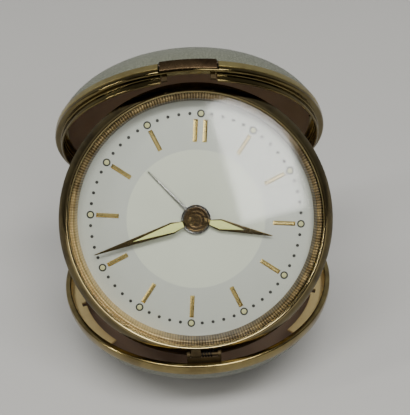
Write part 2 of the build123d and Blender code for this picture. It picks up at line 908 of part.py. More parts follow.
# Hour batons: faceted gilt bars, two of them side by side at 12
with BuildPart() as hour_batons:
    for hour in range(hour_marks):
        spots = (-baton_pair_spacing / 2, baton_pair_spacing / 2) if hour == 0 else (0,)
        direction = front_side - hour * full_turn / hour_marks
        with BuildSketch(clock_face.offset(dial_level)):
            for spot in spots:
                middle = around((0, 0), direction, (baton_inner_radius + baton_outer_radius) / 2)
                place = around(middle, direction - front_side, spot)
                with Locations(Location((place[0], place[1], 0), (0, 0, direction))):
                    Rectangle(baton_length, baton_width)
        extrude(amount=baton_height, taper=baton_taper)
keep(hour_batons, "hour_batons")

# Luminous dots outside the batons
with BuildPart() as lume_dots:
    with BuildSketch(clock_face.offset(dial_level)):
        with PolarLocations(lume_ring_radius, hour_marks):
            Circle(lume_radius)
    extrude(amount=lume_height)
keep(lume_dots, "lume_dots")


# Hands: skeleton lances of gilt steel with luminous paste between their edges
def lance(length, inset, start, end):
    """Corners of the lance between two radii, drawn in by the inset."""
    def half_at(radius):
        if radius < hand_widest_radius:
            share = (radius - hand_neck_radius) / (hand_widest_radius - hand_neck_radius)
            return hand_neck_half + share * (hand_half_width - hand_neck_half)
        share = (radius - hand_widest_radius) / (length - hand_widest_radius)
        return hand_half_width + share * (hand_tip_half - hand_half_width)

    stations = [start] + [r for r in (hand_widest_radius,) if start < r < end] + [end]
    upper = [(r, half_at(r) - inset) for r in stations]
    return upper + [(r, -h) for r, h in reversed(upper)]


hands = (
    ("hour", hour_length, hour_angle, hour_hand_level, hour_boss_radius, hour_tube_radius - tube_wall),
    ("minute", minute_length, minute_angle, minute_hand_level, minute_boss_radius, centre_radius),
)
for name, length, angle, level, boss, bore in hands:
    window_start = max(lume_start_share * length, boss + hand_frame)
    window_end = lume_end_share * length
    way = Plane(
        origin=clock_face.origin,
        x_dir=clock_face.x_dir * sin(radians(angle)) + clock_face.y_dir * cos(radians(angle)),
        z_dir=clock_face.z_dir,
    )
    with BuildPart() as hand:
        with BuildSketch(way.offset(level)):
            Circle(boss)
            Polygon(*lance(length, 0, 0, length), align=None)
            Polygon(*lance(length, hand_frame, window_start, window_end), align=None, mode=Mode.SUBTRACT)
            Circle(bore + fit_gap, mode=Mode.SUBTRACT)
        extrude(amount=hand_wall)
    keep(hand, name + "_hand")
    with BuildPart() as paste:
        with BuildSketch(way.offset(level)):
            inset = hand_frame + lume_gap
            Polygon(*lance(length, inset, window_start + lume_gap, window_end - lume_gap), align=None)
        extrude(amount=lume_wall)
    keep(paste, name + "_hand_lume")

# Alarm hand: a slim pointer under the other hands
with BuildPart() as alarm_hand:
    alarm_way = Plane(
        origin=clock_face.origin,
        x_dir=clock_face.x_dir * sin(radians(alarm_angle)) + clock_face.y_dir * cos(radians(alarm_angle)),
        z_dir=clock_face.z_dir,
    )
    with BuildSketch(alarm_way.offset(alarm_hand_level)):
        Circle(alarm_boss_radius)
        Polygon(
            (0, alarm_half_width), (0, -alarm_half_width),
            (alarm_length, -hand_tip_half), (alarm_length, hand_tip_half), align=None,
        )
        Circle(hour_tube_radius + running_gap, mode=Mode.SUBTRACT)
    extrude(amount=hand_wall)
keep(alarm_hand, "alarm_hand")


# Toothed wheels
def pitch(count, module):
    return count * module / 2


def gear(count, module, turn):
    """Corners of a wheel whose teeth have straight flanks, with one tooth at the turn angle."""
    root = pitch(count, module) - dedendum_share * module
    tip = pitch(count, module) + addendum_share * module
    corners = []
    for tooth in range(count):
        for share, radius in (
            (-tooth_root_share, root), (-tooth_tip_share, tip),
            (tooth_tip_share, tip), (tooth_root_share, root),
        ):
            corners.append(around((0, 0), turn + (tooth + share) * full_turn / count, radius))
    return corners


def meshed_turn(turn, count, direction, other_count):
    """The turn of a wheel that stands in this direction, so that its gap meets the first wheel's tooth."""
    phase = (direction - turn) * count / full_turn
    return direction + full_turn / 2 - (1 / 2 - phase) * full_turn / other_count


def saw_outline(count, radius, depth, turn):
    """Corners of an escape wheel with leaning pointed teeth."""
    corners = []
    for tooth in range(count):
        start = turn + tooth * full_turn / count
        corners.append(around((0, 0), start, radius))
        corners.append(around((0, 0), start + saw_tip_share * full_turn / count, radius))
        corners.append(around((0, 0), start + saw_root_share * full_turn / count, radius - depth))
        corners.append(around((0, 0), start + saw_back_share * full_turn / count, radius - depth))
    return corners



def wheel_piece(outline, place, span, solid_radius=0.0, hub=0.0):
    """One toothed disc, crossed out into spokes where its solid radius is given."""
    with BuildPart() as piece:
        with BuildSketch(clock_face.offset(span[0])):
            with Locations(place):
                Polygon(*outline, align=None)
            if solid_radius:
                with Locations(place):
                    Circle(solid_radius - wheel_rim, mode=Mode.SUBTRACT)
                    Circle(hub)
                    for spoke in range(spoke_count // 2):
                        Rectangle(
                            2 * (solid_radius - wheel_rim / 2), spoke_width,
                            rotation=spoke * full_turn / spoke_count,
                        )
        extrude(amount=span[1] - span[0])
    return piece.part


centre = (0, 0)
front_of_plate = front_plate_level + plate_wall
inside_front = front_plate_level
inside_back = back_plate_level + plate_wall
arbor_span = (back_plate_level, front_of_plate)

barrel_place = around(
    centre, barrel_direction, pitch(barrel_teeth, barrel_module) + pitch(centre_pinion_teeth, barrel_module)
)
third_place = around(
    centre, third_direction, pitch(centre_teeth, centre_module) + pitch(third_pinion_teeth, centre_module)
)
fourth_place = around(
    third_place, fourth_direction,
    pitch(third_teeth, third_module) + pitch(fourth_pinion_teeth, third_module),
)
escape_place = around(
    fourth_place, escape_direction,
    pitch(fourth_teeth, fourth_module) + pitch(escape_pinion_teeth, fourth_module),
)
pallet_place = around(escape_place, pallet_direction, pallet_reach)
balance_place = around(pallet_place, balance_direction, balance_reach)
motion_reach = pitch(cannon_teeth, motion_module) + pitch(minute_wheel_teeth, motion_module)
minute_wheel_place = around(centre, minute_wheel_direction, motion_reach)
hour_module = 2 * motion_reach / (hour_pinion_teeth + hour_wheel_teeth)
alarm_setter_place = around(
    centre, alarm_setter_direction,
    pitch(alarm_wheel_teeth, motion_module) + pitch(alarm_setter_teeth, motion_module),
)
alarm_barrel_place = around(centre, alarm_barrel_direction, alarm_barrel_reach)
alarm_escape_place = around(
    alarm_barrel_place, alarm_escape_direction,
    pitch(alarm_barrel_teeth, alarm_barrel_module) + pitch(alarm_escape_pinion_teeth, alarm_barrel_module),
)
hammer_place = around(alarm_escape_place, hammer_direction, star_reach)
pillar_places = [around(centre, direction, pillar_reach) for direction in pillar_directions]
post_places = [around(centre, direction, post_reach) for direction in post_directions]
stop_lever_place = around(centre, stop_lever_direction, stop_lever_reach)

centre_turn = 0.0
barrel_turn = meshed_turn(centre_turn, centre_pinion_teeth, barrel_direction, barrel_teeth)
third_turn = meshed_turn(centre_turn, centre_teeth, third_direction, third_pinion_teeth)
fourth_turn = meshed_turn(third_turn, third_teeth, fourth_direction, fourth_pinion_teeth)
escape_turn = meshed_turn(fourth_turn, fourth_teeth, escape_direction, escape_pinion_teeth)
minute_wheel_turn = meshed_turn(0.0, cannon_teeth, minute_wheel_direction, minute_wheel_teeth)
hour_wheel_turn = meshed_turn(
    minute_wheel_turn, hour_pinion_teeth, minute_wheel_direction + full_turn / 2, hour_wheel_teeth
)
alarm_setter_turn = meshed_turn(0.0, alarm_wheel_teeth, alarm_setter_direction, alarm_setter_teeth)
alarm_escape_turn = meshed_turn(0.0, alarm_barrel_teeth, alarm_escape_direction, alarm_escape_pinion_teeth)

# Motion work under the dial: cannon pinion, minute wheel and hour wheel, twelve to one
cannon_span = (minute_wheel_span[0], minute_hand_level + hand_wall)
centre_top = minute_hand_level + hand_wall
centre_bottom = knob_level - knob_height / 2
with BuildPart() as centre_arbor:
    add(disc(centre, centre_radius, (centre_bottom, centre_top)))
    add(disc(centre, cannon_radius, (cannon_span[0], minute_hand_level - fit_gap)))
    add(wheel_piece(gear(cannon_teeth, motion_module, 0.0),
                    centre, minute_wheel_span))
    add(disc(centre, hub_cap_radius, (centre_top, centre_top + hub_cap_height)))
    cap_top = centre_top + hub_cap_height
    add(disc(centre, hub_hole_radius, (cap_top - hub_hole_depth, cap_top)), mode=Mode.SUBTRACT)
keep(centre_arbor, "centre_arbor")

stud_radius = arbor_radius
with BuildPart() as minute_wheel:
    add(wheel_piece(
        gear(minute_wheel_teeth, motion_module, minute_wheel_turn),
        minute_wheel_place, minute_wheel_span, pitch(minute_wheel_teeth, motion_module), hub_radius))
    add(wheel_piece(
        gear(hour_pinion_teeth, hour_module, minute_wheel_turn),
        minute_wheel_place, (minute_wheel_span[1], hour_wheel_span[1])))
    add(disc(minute_wheel_place, stud_radius + running_gap, (minute_wheel_span[0], hour_wheel_span[1])),
        mode=Mode.SUBTRACT)
keep(minute_wheel, "minute_wheel")

with BuildPart() as hour_wheel:
    add(wheel_piece(
        gear(hour_wheel_teeth, hour_module, hour_wheel_turn),
        centre, hour_wheel_span, pitch(hour_wheel_teeth, hour_module), hub_radius * 2))
    add(disc(centre, hour_tube_radius, (hour_wheel_span[0], hour_hand_level)))
    add(disc(centre, hour_tube_radius - tube_wall, (hour_wheel_span[0], hour_hand_level + hand_wall)),
        mode=Mode.SUBTRACT)
keep(hour_wheel, "hour_wheel")

# Alarm disc: the tube of the alarm hand with its own wheel, set by a knob at the back
with BuildPart() as alarm_wheel:
    add(wheel_piece(
        gear(alarm_wheel_teeth, motion_module, 0.0),
        centre, alarm_wheel_span, pitch(alarm_wheel_teeth, motion_module), hub_radius * 2))
    add(disc(centre, alarm_tube_radius, (alarm_wheel_span[0], alarm_hand_level)))
    add(disc(centre, hour_tube_radius + running_gap, (alarm_wheel_span[0], alarm_hand_level)),
        mode=Mode.SUBTRACT)
keep(alarm_wheel, "alarm_wheel")

with BuildPart() as alarm_setter:
    add(disc(alarm_setter_place, arbor_radius, (centre_bottom, alarm_wheel_span[1])))
    add(wheel_piece(
        gear(alarm_setter_teeth, motion_module, alarm_setter_turn),
        alarm_setter_place, alarm_wheel_span))
keep(alarm_setter, "alarm_setter")

# Plates: front plate with the stud of the minute wheel, back plate with posts for the back cover
through_holes = (
    (centre, centre_radius), (third_place, arbor_radius), (fourth_place, arbor_radius),
    (escape_place, arbor_radius), (pallet_place, arbor_radius), (balance_place, arbor_radius),
    (barrel_place, key_arbor_radius), (alarm_barrel_place, key_arbor_radius),
    (alarm_setter_place, arbor_radius), (alarm_escape_place, arbor_radius), (hammer_place, arbor_radius),
)
with BuildPart() as front_plate:
    with BuildSketch(clock_face.offset(front_plate_level)):
        Circle(drum_inner - fit_gap)
        for place, radius in through_holes:
            with Locations(place):
                Circle(radius + running_gap, mode=Mode.SUBTRACT)
    extrude(amount=plate_wall)
    add(disc(minute_wheel_place, stud_radius, (front_of_plate, hour_wheel_span[1])))
keep(front_plate, "front_plate")

with BuildPart() as back_plate:
    with BuildSketch(clock_face.offset(back_plate_level)):
        Circle(back_plate_radius)
        for place, radius in through_holes:
            with Locations(place):
                Circle(radius + running_gap, mode=Mode.SUBTRACT)
        for place in pillar_places:
            with Locations(place):
                Circle(screw_radius + fit_gap, mode=Mode.SUBTRACT)
    extrude(amount=plate_wall)
    for place in post_places:
        add(disc(place, post_radius, (drum_back, back_plate_level)))
        add(disc(place, screw_radius + seat_gap, (drum_back, inside_back)), mode=Mode.SUBTRACT)
keep(back_plate, "back_plate")

# Pillars between the plates, riveted to the front plate and tapped at the back
with BuildPart() as plate_pillars:
    for place in pillar_places:
        add(disc(place, pillar_radius, (inside_back, inside_front)))
        tapped_span = (inside_back, inside_back + screw_depth)
        add(disc(place, screw_radius + seat_gap, tapped_span), mode=Mode.SUBTRACT)
keep(plate_pillars, "plate_pillars")


def slotted_screws(name, places, seat, length):
    """Cheese-head screws that point towards the dial, their heads on the seat level."""
    with BuildPart() as screws:
        for place in places:
            add(disc(place, screw_head_radius, (seat - screw_head_height, seat)))
            add(disc(place, screw_radius, (seat, seat + length)))
            with BuildSketch(clock_face.offset(seat - screw_head_height)):
                with Locations(place):
                    Rectangle(2 * screw_head_radius, screw_slot_width, rotation=screw_slot_angle)
            extrude(amount=screw_slot_depth, mode=Mode.SUBTRACT)
    keep(screws, name)


slotted_screws("plate_screws", pillar_places, back_plate_level, plate_wall + screw_depth - 2 * fit_gap)
slotted_screws("cover_screws", post_places, drum_back - back_cover_wall,
               back_cover_wall + drum_back * -1 + back_plate_level)

# Spacer ring that holds the dial off the front plate
with BuildPart() as movement_ring:
    with BuildSketch(clock_face.offset(front_of_plate)):
        Circle(drum_inner - fit_gap)
        Circle(drum_inner - spacer_wall, mode=Mode.SUBTRACT)
    extrude(amount=dial_level - dial_wall - front_of_plate)
keep(movement_ring, "movement_ring")

# Back cover: a brass disc with holes for the keys and knobs and a slot for the regulator
regulator_direction = degrees(atan2(balance_place[1], balance_place[0]))
tail_reach = regulator_length - regulator_width / 2
tail_angle = degrees((regulator_width / 2 + cover_hole_gap) / tail_reach)
balance_axis = Plane(
    origin=clock_face.from_local_coords((*balance_place, 0)), x_dir=clock_face.x_dir, z_dir=clock_face.z_dir
)
tail_slot = ring_sector(
    balance_axis, regulator_direction, regulator_swing + tail_angle,
    tail_reach - regulator_width / 2 - cover_hole_gap, tail_reach + regulator_width / 2 + cover_hole_gap,
    drum_back - 2 * back_cover_wall, drum_back + back_cover_wall,
)
with BuildPart() as back_cover:
    with BuildSketch(clock_face.offset(drum_back - back_cover_wall)):
        Circle(back_cover_radius)
        for place, radius in (
            (centre, centre_radius), (barrel_place, key_arbor_radius),
            (alarm_barrel_place, key_arbor_radius), (alarm_setter_place, arbor_radius),
        ):
            with Locations(place):
                Circle(radius + cover_hole_gap, mode=Mode.SUBTRACT)
        for place in post_places:
            with Locations(place):
                Circle(screw_radius + fit_gap, mode=Mode.SUBTRACT)
        with Locations(stop_lever_place):
            Circle(stop_pin_radius + running_gap, mode=Mode.SUBTRACT)
    extrude(amount=back_cover_wall)
    add(tail_slot, mode=Mode.SUBTRACT)
keep(back_cover, "back_cover")


# Going train
def arbor_piece(name, place, pieces, radius=arbor_radius, span=arbor_span):
    with BuildPart() as piece:
        add(disc(place, radius, span))
        for part in pieces:
            add(part)
    keep(piece, name)


with BuildPart() as centre_wheel:
    add(wheel_piece(
        gear(centre_teeth, centre_module, centre_turn),
        centre, centre_wheel_span, pitch(centre_teeth, centre_module), hub_radius))
    add(wheel_piece(
        gear(centre_pinion_teeth, barrel_module, centre_turn),
        centre, centre_pinion_span))
    add(disc(centre, centre_radius + running_gap, (centre_pinion_span[0], centre_wheel_span[1])),
        mode=Mode.SUBTRACT)
keep(centre_wheel, "centre_wheel")

train = (
    ("third_wheel", third_place, third_teeth, third_module, third_wheel_span,
     third_pinion_teeth, centre_module, third_pinion_span, third_turn),
    ("fourth_wheel", fourth_place, fourth_teeth, fourth_module, fourth_wheel_span,
     fourth_pinion_teeth, third_module, fourth_pinion_span, fourth_turn),
)
for name, place, count, module, span, leaves, leaf_module, leaf_span, turn in train:
    arbor_piece(name, place, [
        wheel_piece(gear(count, module, turn), place, span,
                    pitch(count, module), hub_radius),
        wheel_piece(gear(leaves, leaf_module, turn), place, leaf_span),
    ])

arbor_piece("escape_wheel", escape_place, [
    wheel_piece(saw_outline(escape_teeth, escape_radius, escape_tooth, escape_lean), escape_place,
                escape_wheel_span),
    wheel_piece(
        gear(escape_pinion_teeth, fourth_module, escape_turn),
        escape_place, escape_pinion_span),
])


# Spring barrels: toothed drums, each turning on the arbor of its key
def spring_barrel(name, place, count, module, drum_span, flange_span, turn):
    drum_radius_here = pitch(count, module) - barrel_drum_inset
    with BuildPart() as barrel:
        add(disc(place, drum_radius_here, drum_span))
        add(wheel_piece(gear(count, module, turn), place, flange_span))
        add(disc(place, drum_radius_here - barrel_wall, (drum_span[0] + barrel_floor, drum_span[1])),
            mode=Mode.SUBTRACT)
        add(disc(place, key_arbor_radius + running_gap, (drum_span[0], flange_span[1])), mode=Mode.SUBTRACT)
    keep(barrel, name)


spring_barrel(
    "main_barrel", barrel_place, barrel_teeth, barrel_module, barrel_span, barrel_flange_span, barrel_turn
)
spring_barrel(
    "alarm_barrel", alarm_barrel_place, alarm_barrel_teeth, alarm_barrel_module, alarm_barrel_span,
    alarm_flange_span, centre_turn,
)


def spiral_strip(turns, inner, outer, wall):
    """Corners of a flat spiral strip: out along one edge and back along the other."""
    count = turns * spiral_steps
    edges = []
    for offset in (0, wall):
        edge = []
        for step in range(count + 1):
            radius = inner + offset + (outer - inner - wall) * step / count
            edge.append(around((0, 0), step * full_turn / spiral_steps, radius))
        edges.append(edge)
    return edges[0] + edges[1][::-1]


# Mainspring, wound between the key arbor and the wall of the barrel
with BuildPart() as mainspring:
    with BuildSketch(clock_face.offset(barrel_span[0] + barrel_floor + mainspring_gap)):
        with Locations(barrel_place):
            Polygon(
                *spiral_strip(
                    mainspring_turns, key_arbor_radius + mainspring_gap,
                    pitch(barrel_teeth, barrel_module) - barrel_drum_inset - barrel_wall - mainspring_gap,
                    mainspring_wall,
                ),
                align=None,
            )
    extrude(amount=barrel_span[1] - barrel_span[0] - barrel_floor - 2 * mainspring_gap)
keep(mainspring, "mainspring")


# Winding keys: arbors with a hub and a rounded wing behind the back cover
def winding_key(name, place, length):
    hub_top = drum_back - back_cover_wall - cover_hole_gap
    wing_top = hub_top - key_hub_height
    with BuildPart() as key:
        add(disc(place, key_arbor_radius, (hub_top, front_of_plate)))
        add(disc(place, key_hub_radius, (wing_top, hub_top)))
        with BuildSketch(clock_face.offset(wing_top - key_wing_height)):
            with Locations(place):
                SlotOverall(length, key_wing_wall, rotation=key_wing_angle)
        extrude(amount=key_wing_height)
    keep(key, name)


winding_key("main_key", barrel_place, main_key_length)
winding_key("alarm_key", alarm_barrel_place, alarm_key_length)


# Setting knobs: fluted brass buttons pressed on their arbors
def fluted_knob(name, place, radius, bore):
    with BuildPart() as knob:
        with BuildSketch(clock_face.offset(knob_level - knob_height)):
            with Locations(place):
                Circle(radius)
                with PolarLocations(radius, knob_flutes):
                    Circle(knob_flute_radius, mode=Mode.SUBTRACT)
        extrude(amount=knob_height)
        add(disc(place, bore + seat_gap, (centre_bottom, knob_level)), mode=Mode.SUBTRACT)
    keep(knob, name)


fluted_knob("time_knob", centre, time_knob_radius, centre_radius)
fluted_knob("alarm_knob", alarm_setter_place, alarm_knob_radius, arbor_radius)

# Pallet lever: an anchor with two steel pins beside the escape wheel and a fork at the balance
pin_circle = escape_radius + pallet_pin_gap + pallet_pin_radius
pallet_pins = [
    around(escape_place, pallet_direction + side, pin_circle)
    for side in (-pallet_pin_spread, pallet_pin_spread)
]
fork_end = around(pallet_place, balance_direction, balance_reach - impulse_pin_reach - fork_gap)
with BuildPart() as pallet_lever:
    add(disc(pallet_place, arbor_radius, arbor_span))
    with BuildSketch(clock_face.offset(pallet_span[0])):
        for end in pallet_pins + [fork_end]:
            with Locations(halfway(pallet_place, end)):
                Rectangle(apart(pallet_place, end) + pallet_arm_width / 2, pallet_arm_width)
    extrude(amount=pallet_span[1] - pallet_span[0])
    for pin in pallet_pins:
        add(disc(pin, pallet_pin_radius, (pallet_span[0], pallet_pin_top)))
keep(pallet_lever, "pallet_lever")

# Balance: a rim on two spokes with a roller and its impulse pin
impulse_place = around(balance_place, balance_direction + full_turn / 2, impulse_pin_reach)
with BuildPart() as balance_wheel:
    add(disc(balance_place, arbor_radius, arbor_span))
    with BuildSketch(clock_face.offset(balance_span[0])):
        with Locations(balance_place):
            Circle(balance_radius)
            Circle(balance_radius - balance_rim, mode=Mode.SUBTRACT)
            Rectangle(2 * (balance_radius - balance_rim / 2), balance_spoke)
            Circle(hub_radius)
    extrude(amount=balance_span[1] - balance_span[0])
    add(disc(balance_place, roller_radius, (roller_span[1], balance_span[0])))
    add(disc(impulse_place, impulse_pin_radius, (roller_span[0], roller_span[1])))
keep(balance_wheel, "balance_wheel")

with BuildPart() as hairspring:
    with BuildSketch(clock_face.offset(hairspring_span[0])):
        with Locations(balance_place):
            spiral = spiral_strip(hairspring_turns, hairspring_inner, hairspring_outer, hairspring_wall)
            Polygon(*spiral, align=None)
    extrude(amount=hairspring_span[1] - hairspring_span[0])
keep(hairspring, "hairspring")

# Alarm escape wheel and the hammer that it rocks against the case
arbor_piece("alarm_escape_wheel", alarm_escape_place, [
    wheel_piece(saw_outline(alarm_escape_teeth, alarm_escape_radius, alarm_escape_tooth, escape_lean),
                alarm_escape_place, alarm_escape_span),
    wheel_piece(
        gear(alarm_escape_pinion_teeth, alarm_barrel_module, alarm_escape_turn),
        alarm_escape_place, alarm_escape_pinion_span),
])

hammer_pin_circle = alarm_escape_radius + pallet_pin_gap + pallet_pin_radius
hammer_pins = [
    around(alarm_escape_place, hammer_direction + side, hammer_pin_circle)
    for side in (-hammer_pin_spread, hammer_pin_spread)
]
hammer_head = around(hammer_place, hammer_arm_direction, hammer_length)
with BuildPart() as alarm_hammer:
    add(disc(hammer_place, arbor_radius, arbor_span))
    with BuildSketch(clock_face.offset(hammer_span[0])):
        with Locations(halfway(hammer_place, hammer_head)):
            Rectangle(hammer_length, hammer_arm_width)
        for end in hammer_pins:
            with Locations(halfway(hammer_place, end)):
                Rectangle(apart(hammer_place, end) + pallet_arm_width / 2, pallet_arm_width)
    extrude(amount=hammer_span[1] - hammer_span[0])
    for end in hammer_pins:
        add(disc(end, pallet_pin_radius, (hammer_span[1], hammer_pallet_span[1])))
    add(disc(hammer_head, hammer_head_radius, (hammer_span[0] - hammer_arm_width, hammer_span[1])))
keep(alarm_hammer, "alarm_hammer")

# Regulator: a lever round the balance pivot whose tail comes out of the back cover
regulator_span = (drum_back + fit_gap * 2, back_plate_level - fit_gap * 2)
tail_place = around(balance_place, regulator_direction, tail_reach)
with BuildPart() as regulator:
    with BuildSketch(clock_face.offset(regulator_span[0])):
        with Locations(balance_place):
            Circle(regulator_radius)
        with Locations(halfway(balance_place, tail_place)):
            Rectangle(tail_reach, regulator_width)
        with Locations(tail_place):
            Circle(regulator_width / 2)
    extrude(amount=regulator_span[1] - regulator_span[0])
    add(disc(tail_place, regulator_width / 2, (regulator_span[0] - regulator_pin_length, regulator_span[0])))
keep(regulator, "regulator")

# Alarm stop: a small lever on the back cover
stop_level = drum_back - back_cover_wall - cover_hole_gap
stop_way = stop_lever_direction + front_side
stop_end = around(stop_lever_place, stop_way, stop_lever_length)
with BuildPart() as alarm_stop_lever:
    with BuildSketch(clock_face.offset(stop_level - stop_lever_wall)):
        with Locations(stop_lever_place):
            Circle(stop_lever_width / 2)
        with Locations(halfway(stop_lever_place, stop_end)):
            Rectangle(stop_lever_length, stop_lever_width / 2)
        with Locations(stop_end):
            Circle(stop_lever_width / 2)
    extrude(amount=stop_lever_wall)
    add(disc(stop_lever_place, stop_pin_radius, (stop_level, drum_back)))
keep(alarm_stop_lever, "alarm_stop_lever")
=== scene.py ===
import json
import math

import bmesh
import bpy
from mathutils import Matrix, Vector


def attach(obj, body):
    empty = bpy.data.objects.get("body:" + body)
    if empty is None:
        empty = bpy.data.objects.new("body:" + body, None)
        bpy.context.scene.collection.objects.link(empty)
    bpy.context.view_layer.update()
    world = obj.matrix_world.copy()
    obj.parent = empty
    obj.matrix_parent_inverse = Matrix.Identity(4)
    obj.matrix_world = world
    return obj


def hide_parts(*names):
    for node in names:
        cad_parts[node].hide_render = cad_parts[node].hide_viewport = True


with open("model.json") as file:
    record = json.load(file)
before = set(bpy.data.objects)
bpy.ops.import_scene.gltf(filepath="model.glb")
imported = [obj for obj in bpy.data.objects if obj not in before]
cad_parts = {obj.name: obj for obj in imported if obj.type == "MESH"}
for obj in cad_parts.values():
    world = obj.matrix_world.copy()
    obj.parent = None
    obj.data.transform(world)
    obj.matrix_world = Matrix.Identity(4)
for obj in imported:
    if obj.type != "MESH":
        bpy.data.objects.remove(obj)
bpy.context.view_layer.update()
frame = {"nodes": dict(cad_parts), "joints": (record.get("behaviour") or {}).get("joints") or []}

# Two domed covers, drawn from thin sheet and painted grey-green with the fine grain of leather.
# One is the base, the other the lid. Their edges are gripped by the brass rims.
joints = {joint["name"]: joint for joint in frame["joints"]}
right_way = Vector((1, 0, 0))
hinge_at = Vector(joints["lid_hinge"]["pos_m"])
lid_way = -Vector(joints["catch_slide"]["axis"])
lid_out = lid_way.cross(right_way)


def place_at(middle, x_way, out_way):
    """The matrix that sets a piece's own X, and the way out of its face, about this middle."""
    y_way = out_way.cross(x_way)
    return Matrix((
        (x_way.x, y_way.x, out_way.x, middle.x),
        (x_way.y, y_way.y, out_way.y, middle.y),
        (x_way.z, y_way.z, out_way.z, middle.z),
        (0, 0, 0, 1),
    ))


base_place = place_at(Vector((0, 0, hinge_at.z)), right_way, Vector((0, 0, -1)))
lid_place = place_at(hinge_at + lid_way * hinge_at.y, -right_way, lid_out)


def turned(outline, closed=True, start=0.0, turn=math.tau, steps=192):
    """A mesh turned about the Z axis from an outline of (radius, height) points."""
    whole = turn > math.tau - 0.001
    rows = steps if whole else steps + 1
    count = len(outline)
    vertices = []
    for row in range(rows):
        angle = start + turn * row / steps
        for radius, height in outline:
            vertices.append((radius * math.cos(angle), radius * math.sin(angle), height))
    faces = []
    for row in range(steps):
        here = row * count
        there = (row + 1) % rows * count
        for n in range(count if closed else count - 1):
            after = (n + 1) % count
            faces.append((here + n, here + after, there + after, there + n))
    if closed and not whole:
        faces.append(tuple(range(count)))
        faces.append(tuple(range((rows - 1) * count, rows * count))[::-1])
    mesh = bpy.data.meshes.new("turned")
    mesh.from_pydata(vertices, [], faces)
    return tidied(mesh)


def tidied(mesh):
    """The mesh with doubled points merged and its faces turned outward."""
    work = bmesh.new()
    work.from_mesh(mesh)
    bmesh.ops.remove_doubles(work, verts=work.verts, dist=1e-7)
    bmesh.ops.recalc_face_normals(work, faces=work.faces)
    work.to_mesh(mesh)
    work.free()
    return mesh


def cut(mesh, *cutters):
    """The mesh less the cutters."""
    helpers = [bpy.data.objects.new("cut", each) for each in (mesh, *cutters)]
    for helper in helpers:
        bpy.context.scene.collection.objects.link(helper)
    for helper in helpers[1:]:
        modifier = helpers[0].modifiers.new("cut", "BOOLEAN")
        modifier.object = helper
        modifier.solver = "EXACT"
    ready = helpers[0].evaluated_get(bpy.context.evaluated_depsgraph_get())
    result = bpy.data.meshes.new_from_object(ready)
    for helper in helpers:
        bpy.data.objects.remove(helper)
    return result


def shifted(mesh, matrix):
    """The mesh moved by a matrix."""
    mesh.transform(matrix)
    return mesh


def piece(name, place, meshes, finish, body, stands_for=(), crease=30):
    """One object made of these meshes, in place on its body, smooth but for creases over this angle."""
    work = bmesh.new()
    for mesh in meshes:
        work.from_mesh(mesh)
    whole = bpy.data.meshes.new(name)
    work.to_mesh(whole)
    work.free()
    whole.polygons.foreach_set("use_smooth", [True] * len(whole.polygons))
    whole.set_sharp_from_angle(angle=math.radians(crease))
    whole.materials.clear()
    whole.materials.append(finish)
    if body in ("base", "lid", "catch"):
        whole.transform(place.to_3x3().to_4x4())
        place = Matrix.Translation(place.translation)
    made = bpy.data.objects.new(name, whole)
    bpy.context.scene.collection.objects.link(made)
    made.matrix_world = place
    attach(made, body)
    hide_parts(*stands_for)
    return made


class Field:
    """One socket of a finish's node tree. Sums written with it add Math nodes."""

    def __init__(self, tree, socket=None):
        self.tree = tree
        self.socket = socket

    def node(self, kind, settings=None, inputs=None, output=0):
        """Adds a node: its settings first, then the values or links of its sockets."""
        made = self.tree.nodes.new("ShaderNode" + kind)
        for name, value in (settings or {}).items():
            if name == "stops":
                while len(made.color_ramp.elements) < len(value):
                    made.color_ramp.elements.new(1)
                for element, (at, colour) in zip(made.color_ramp.elements, value):
                    element.position = at
                    element.color = colour
            else:
                setattr(made, name, value)
        for name, value in (inputs or {}).items():
            if isinstance(value, Field):
                self.tree.links.new(value.socket, made.inputs[name])
            else:
                made.inputs[name].default_value = value
        return Field(self.tree, made.outputs[output])

    def into(self, name):
        """Links this socket to the finish's shader."""
        self.tree.links.new(self.socket, self.tree.nodes["Principled BSDF"].inputs[name])

    def maths(self, operation, *values):
        return self.node("Math", {"operation": operation}, dict(enumerate(values)))

    def __add__(self, other):
        return self.maths("ADD", self, other)

    def __sub__(self, other):
        return self.maths("SUBTRACT", self, other)

    def __rsub__(self, other):
        return self.maths("SUBTRACT", other, self)

    def __mul__(self, other):
        return self.maths("MULTIPLY", self, other)

    __radd__ = __add__
    __rmul__ = __mul__

    def eased(self, low, high):
        """Runs smoothly from 0 to 1 as this goes from low to high."""
        return self.node("MapRange", {"interpolation_type": "SMOOTHSTEP"}, {
            "Value": self, "From Min": low, "From Max": high,
        })

    def mixed(self, first, second):
        """Goes from the first colour to the second as this goes from 0 to 1."""
        return self.node("Mix", {"data_type": "RGBA"}, {0: self, 6: first, 7: second}, output=2)

    def raised(self, height, strength=1.0):
        """A surface that this field lifts by up to this height."""
        return self.node("Bump", None, {"Height": self, "Distance": height, "Strength": strength})


def new_finish(name, metallic=0.0, roughness=0.5, coat=0.0, coat_roughness=0.1, specular=0.5):
    """A material with its shader's constants set, and the places of its surface to write patterns on."""
    material = bpy.data.materials.new(name)
    material.use_nodes = True
    shader = material.node_tree.nodes["Principled BSDF"]
    shader.inputs["Metallic"].default_value = metallic
    shader.inputs["Roughness"].default_value = roughness
    shader.inputs["Coat Weight"].default_value = coat
    shader.inputs["Coat Roughness"].default_value = coat_roughness
    shader.inputs["Specular IOR Level"].default_value = specular
    where = Field(material.node_tree).node("TexCoord", output=3)
    return material, where


def noise(where, size, detail=3.0, roughness=0.5):
    """Cloudy noise whose lumps are about this size."""
    return where.node("TexNoise", None, {
        "Vector": where, "Scale": 1 / size, "Detail": detail, "Roughness": roughness,
    })


grain_size = 0.0008
grain_height = 0.00009
pore_size = 0.0003
patch_size = 0.009
rub_size = 0.021
paint_light = (0.130, 0.137, 0.098, 1)
paint_dark = (0.078, 0.083, 0.060, 1)
paint_rubbed = (0.200, 0.185, 0.115, 1)

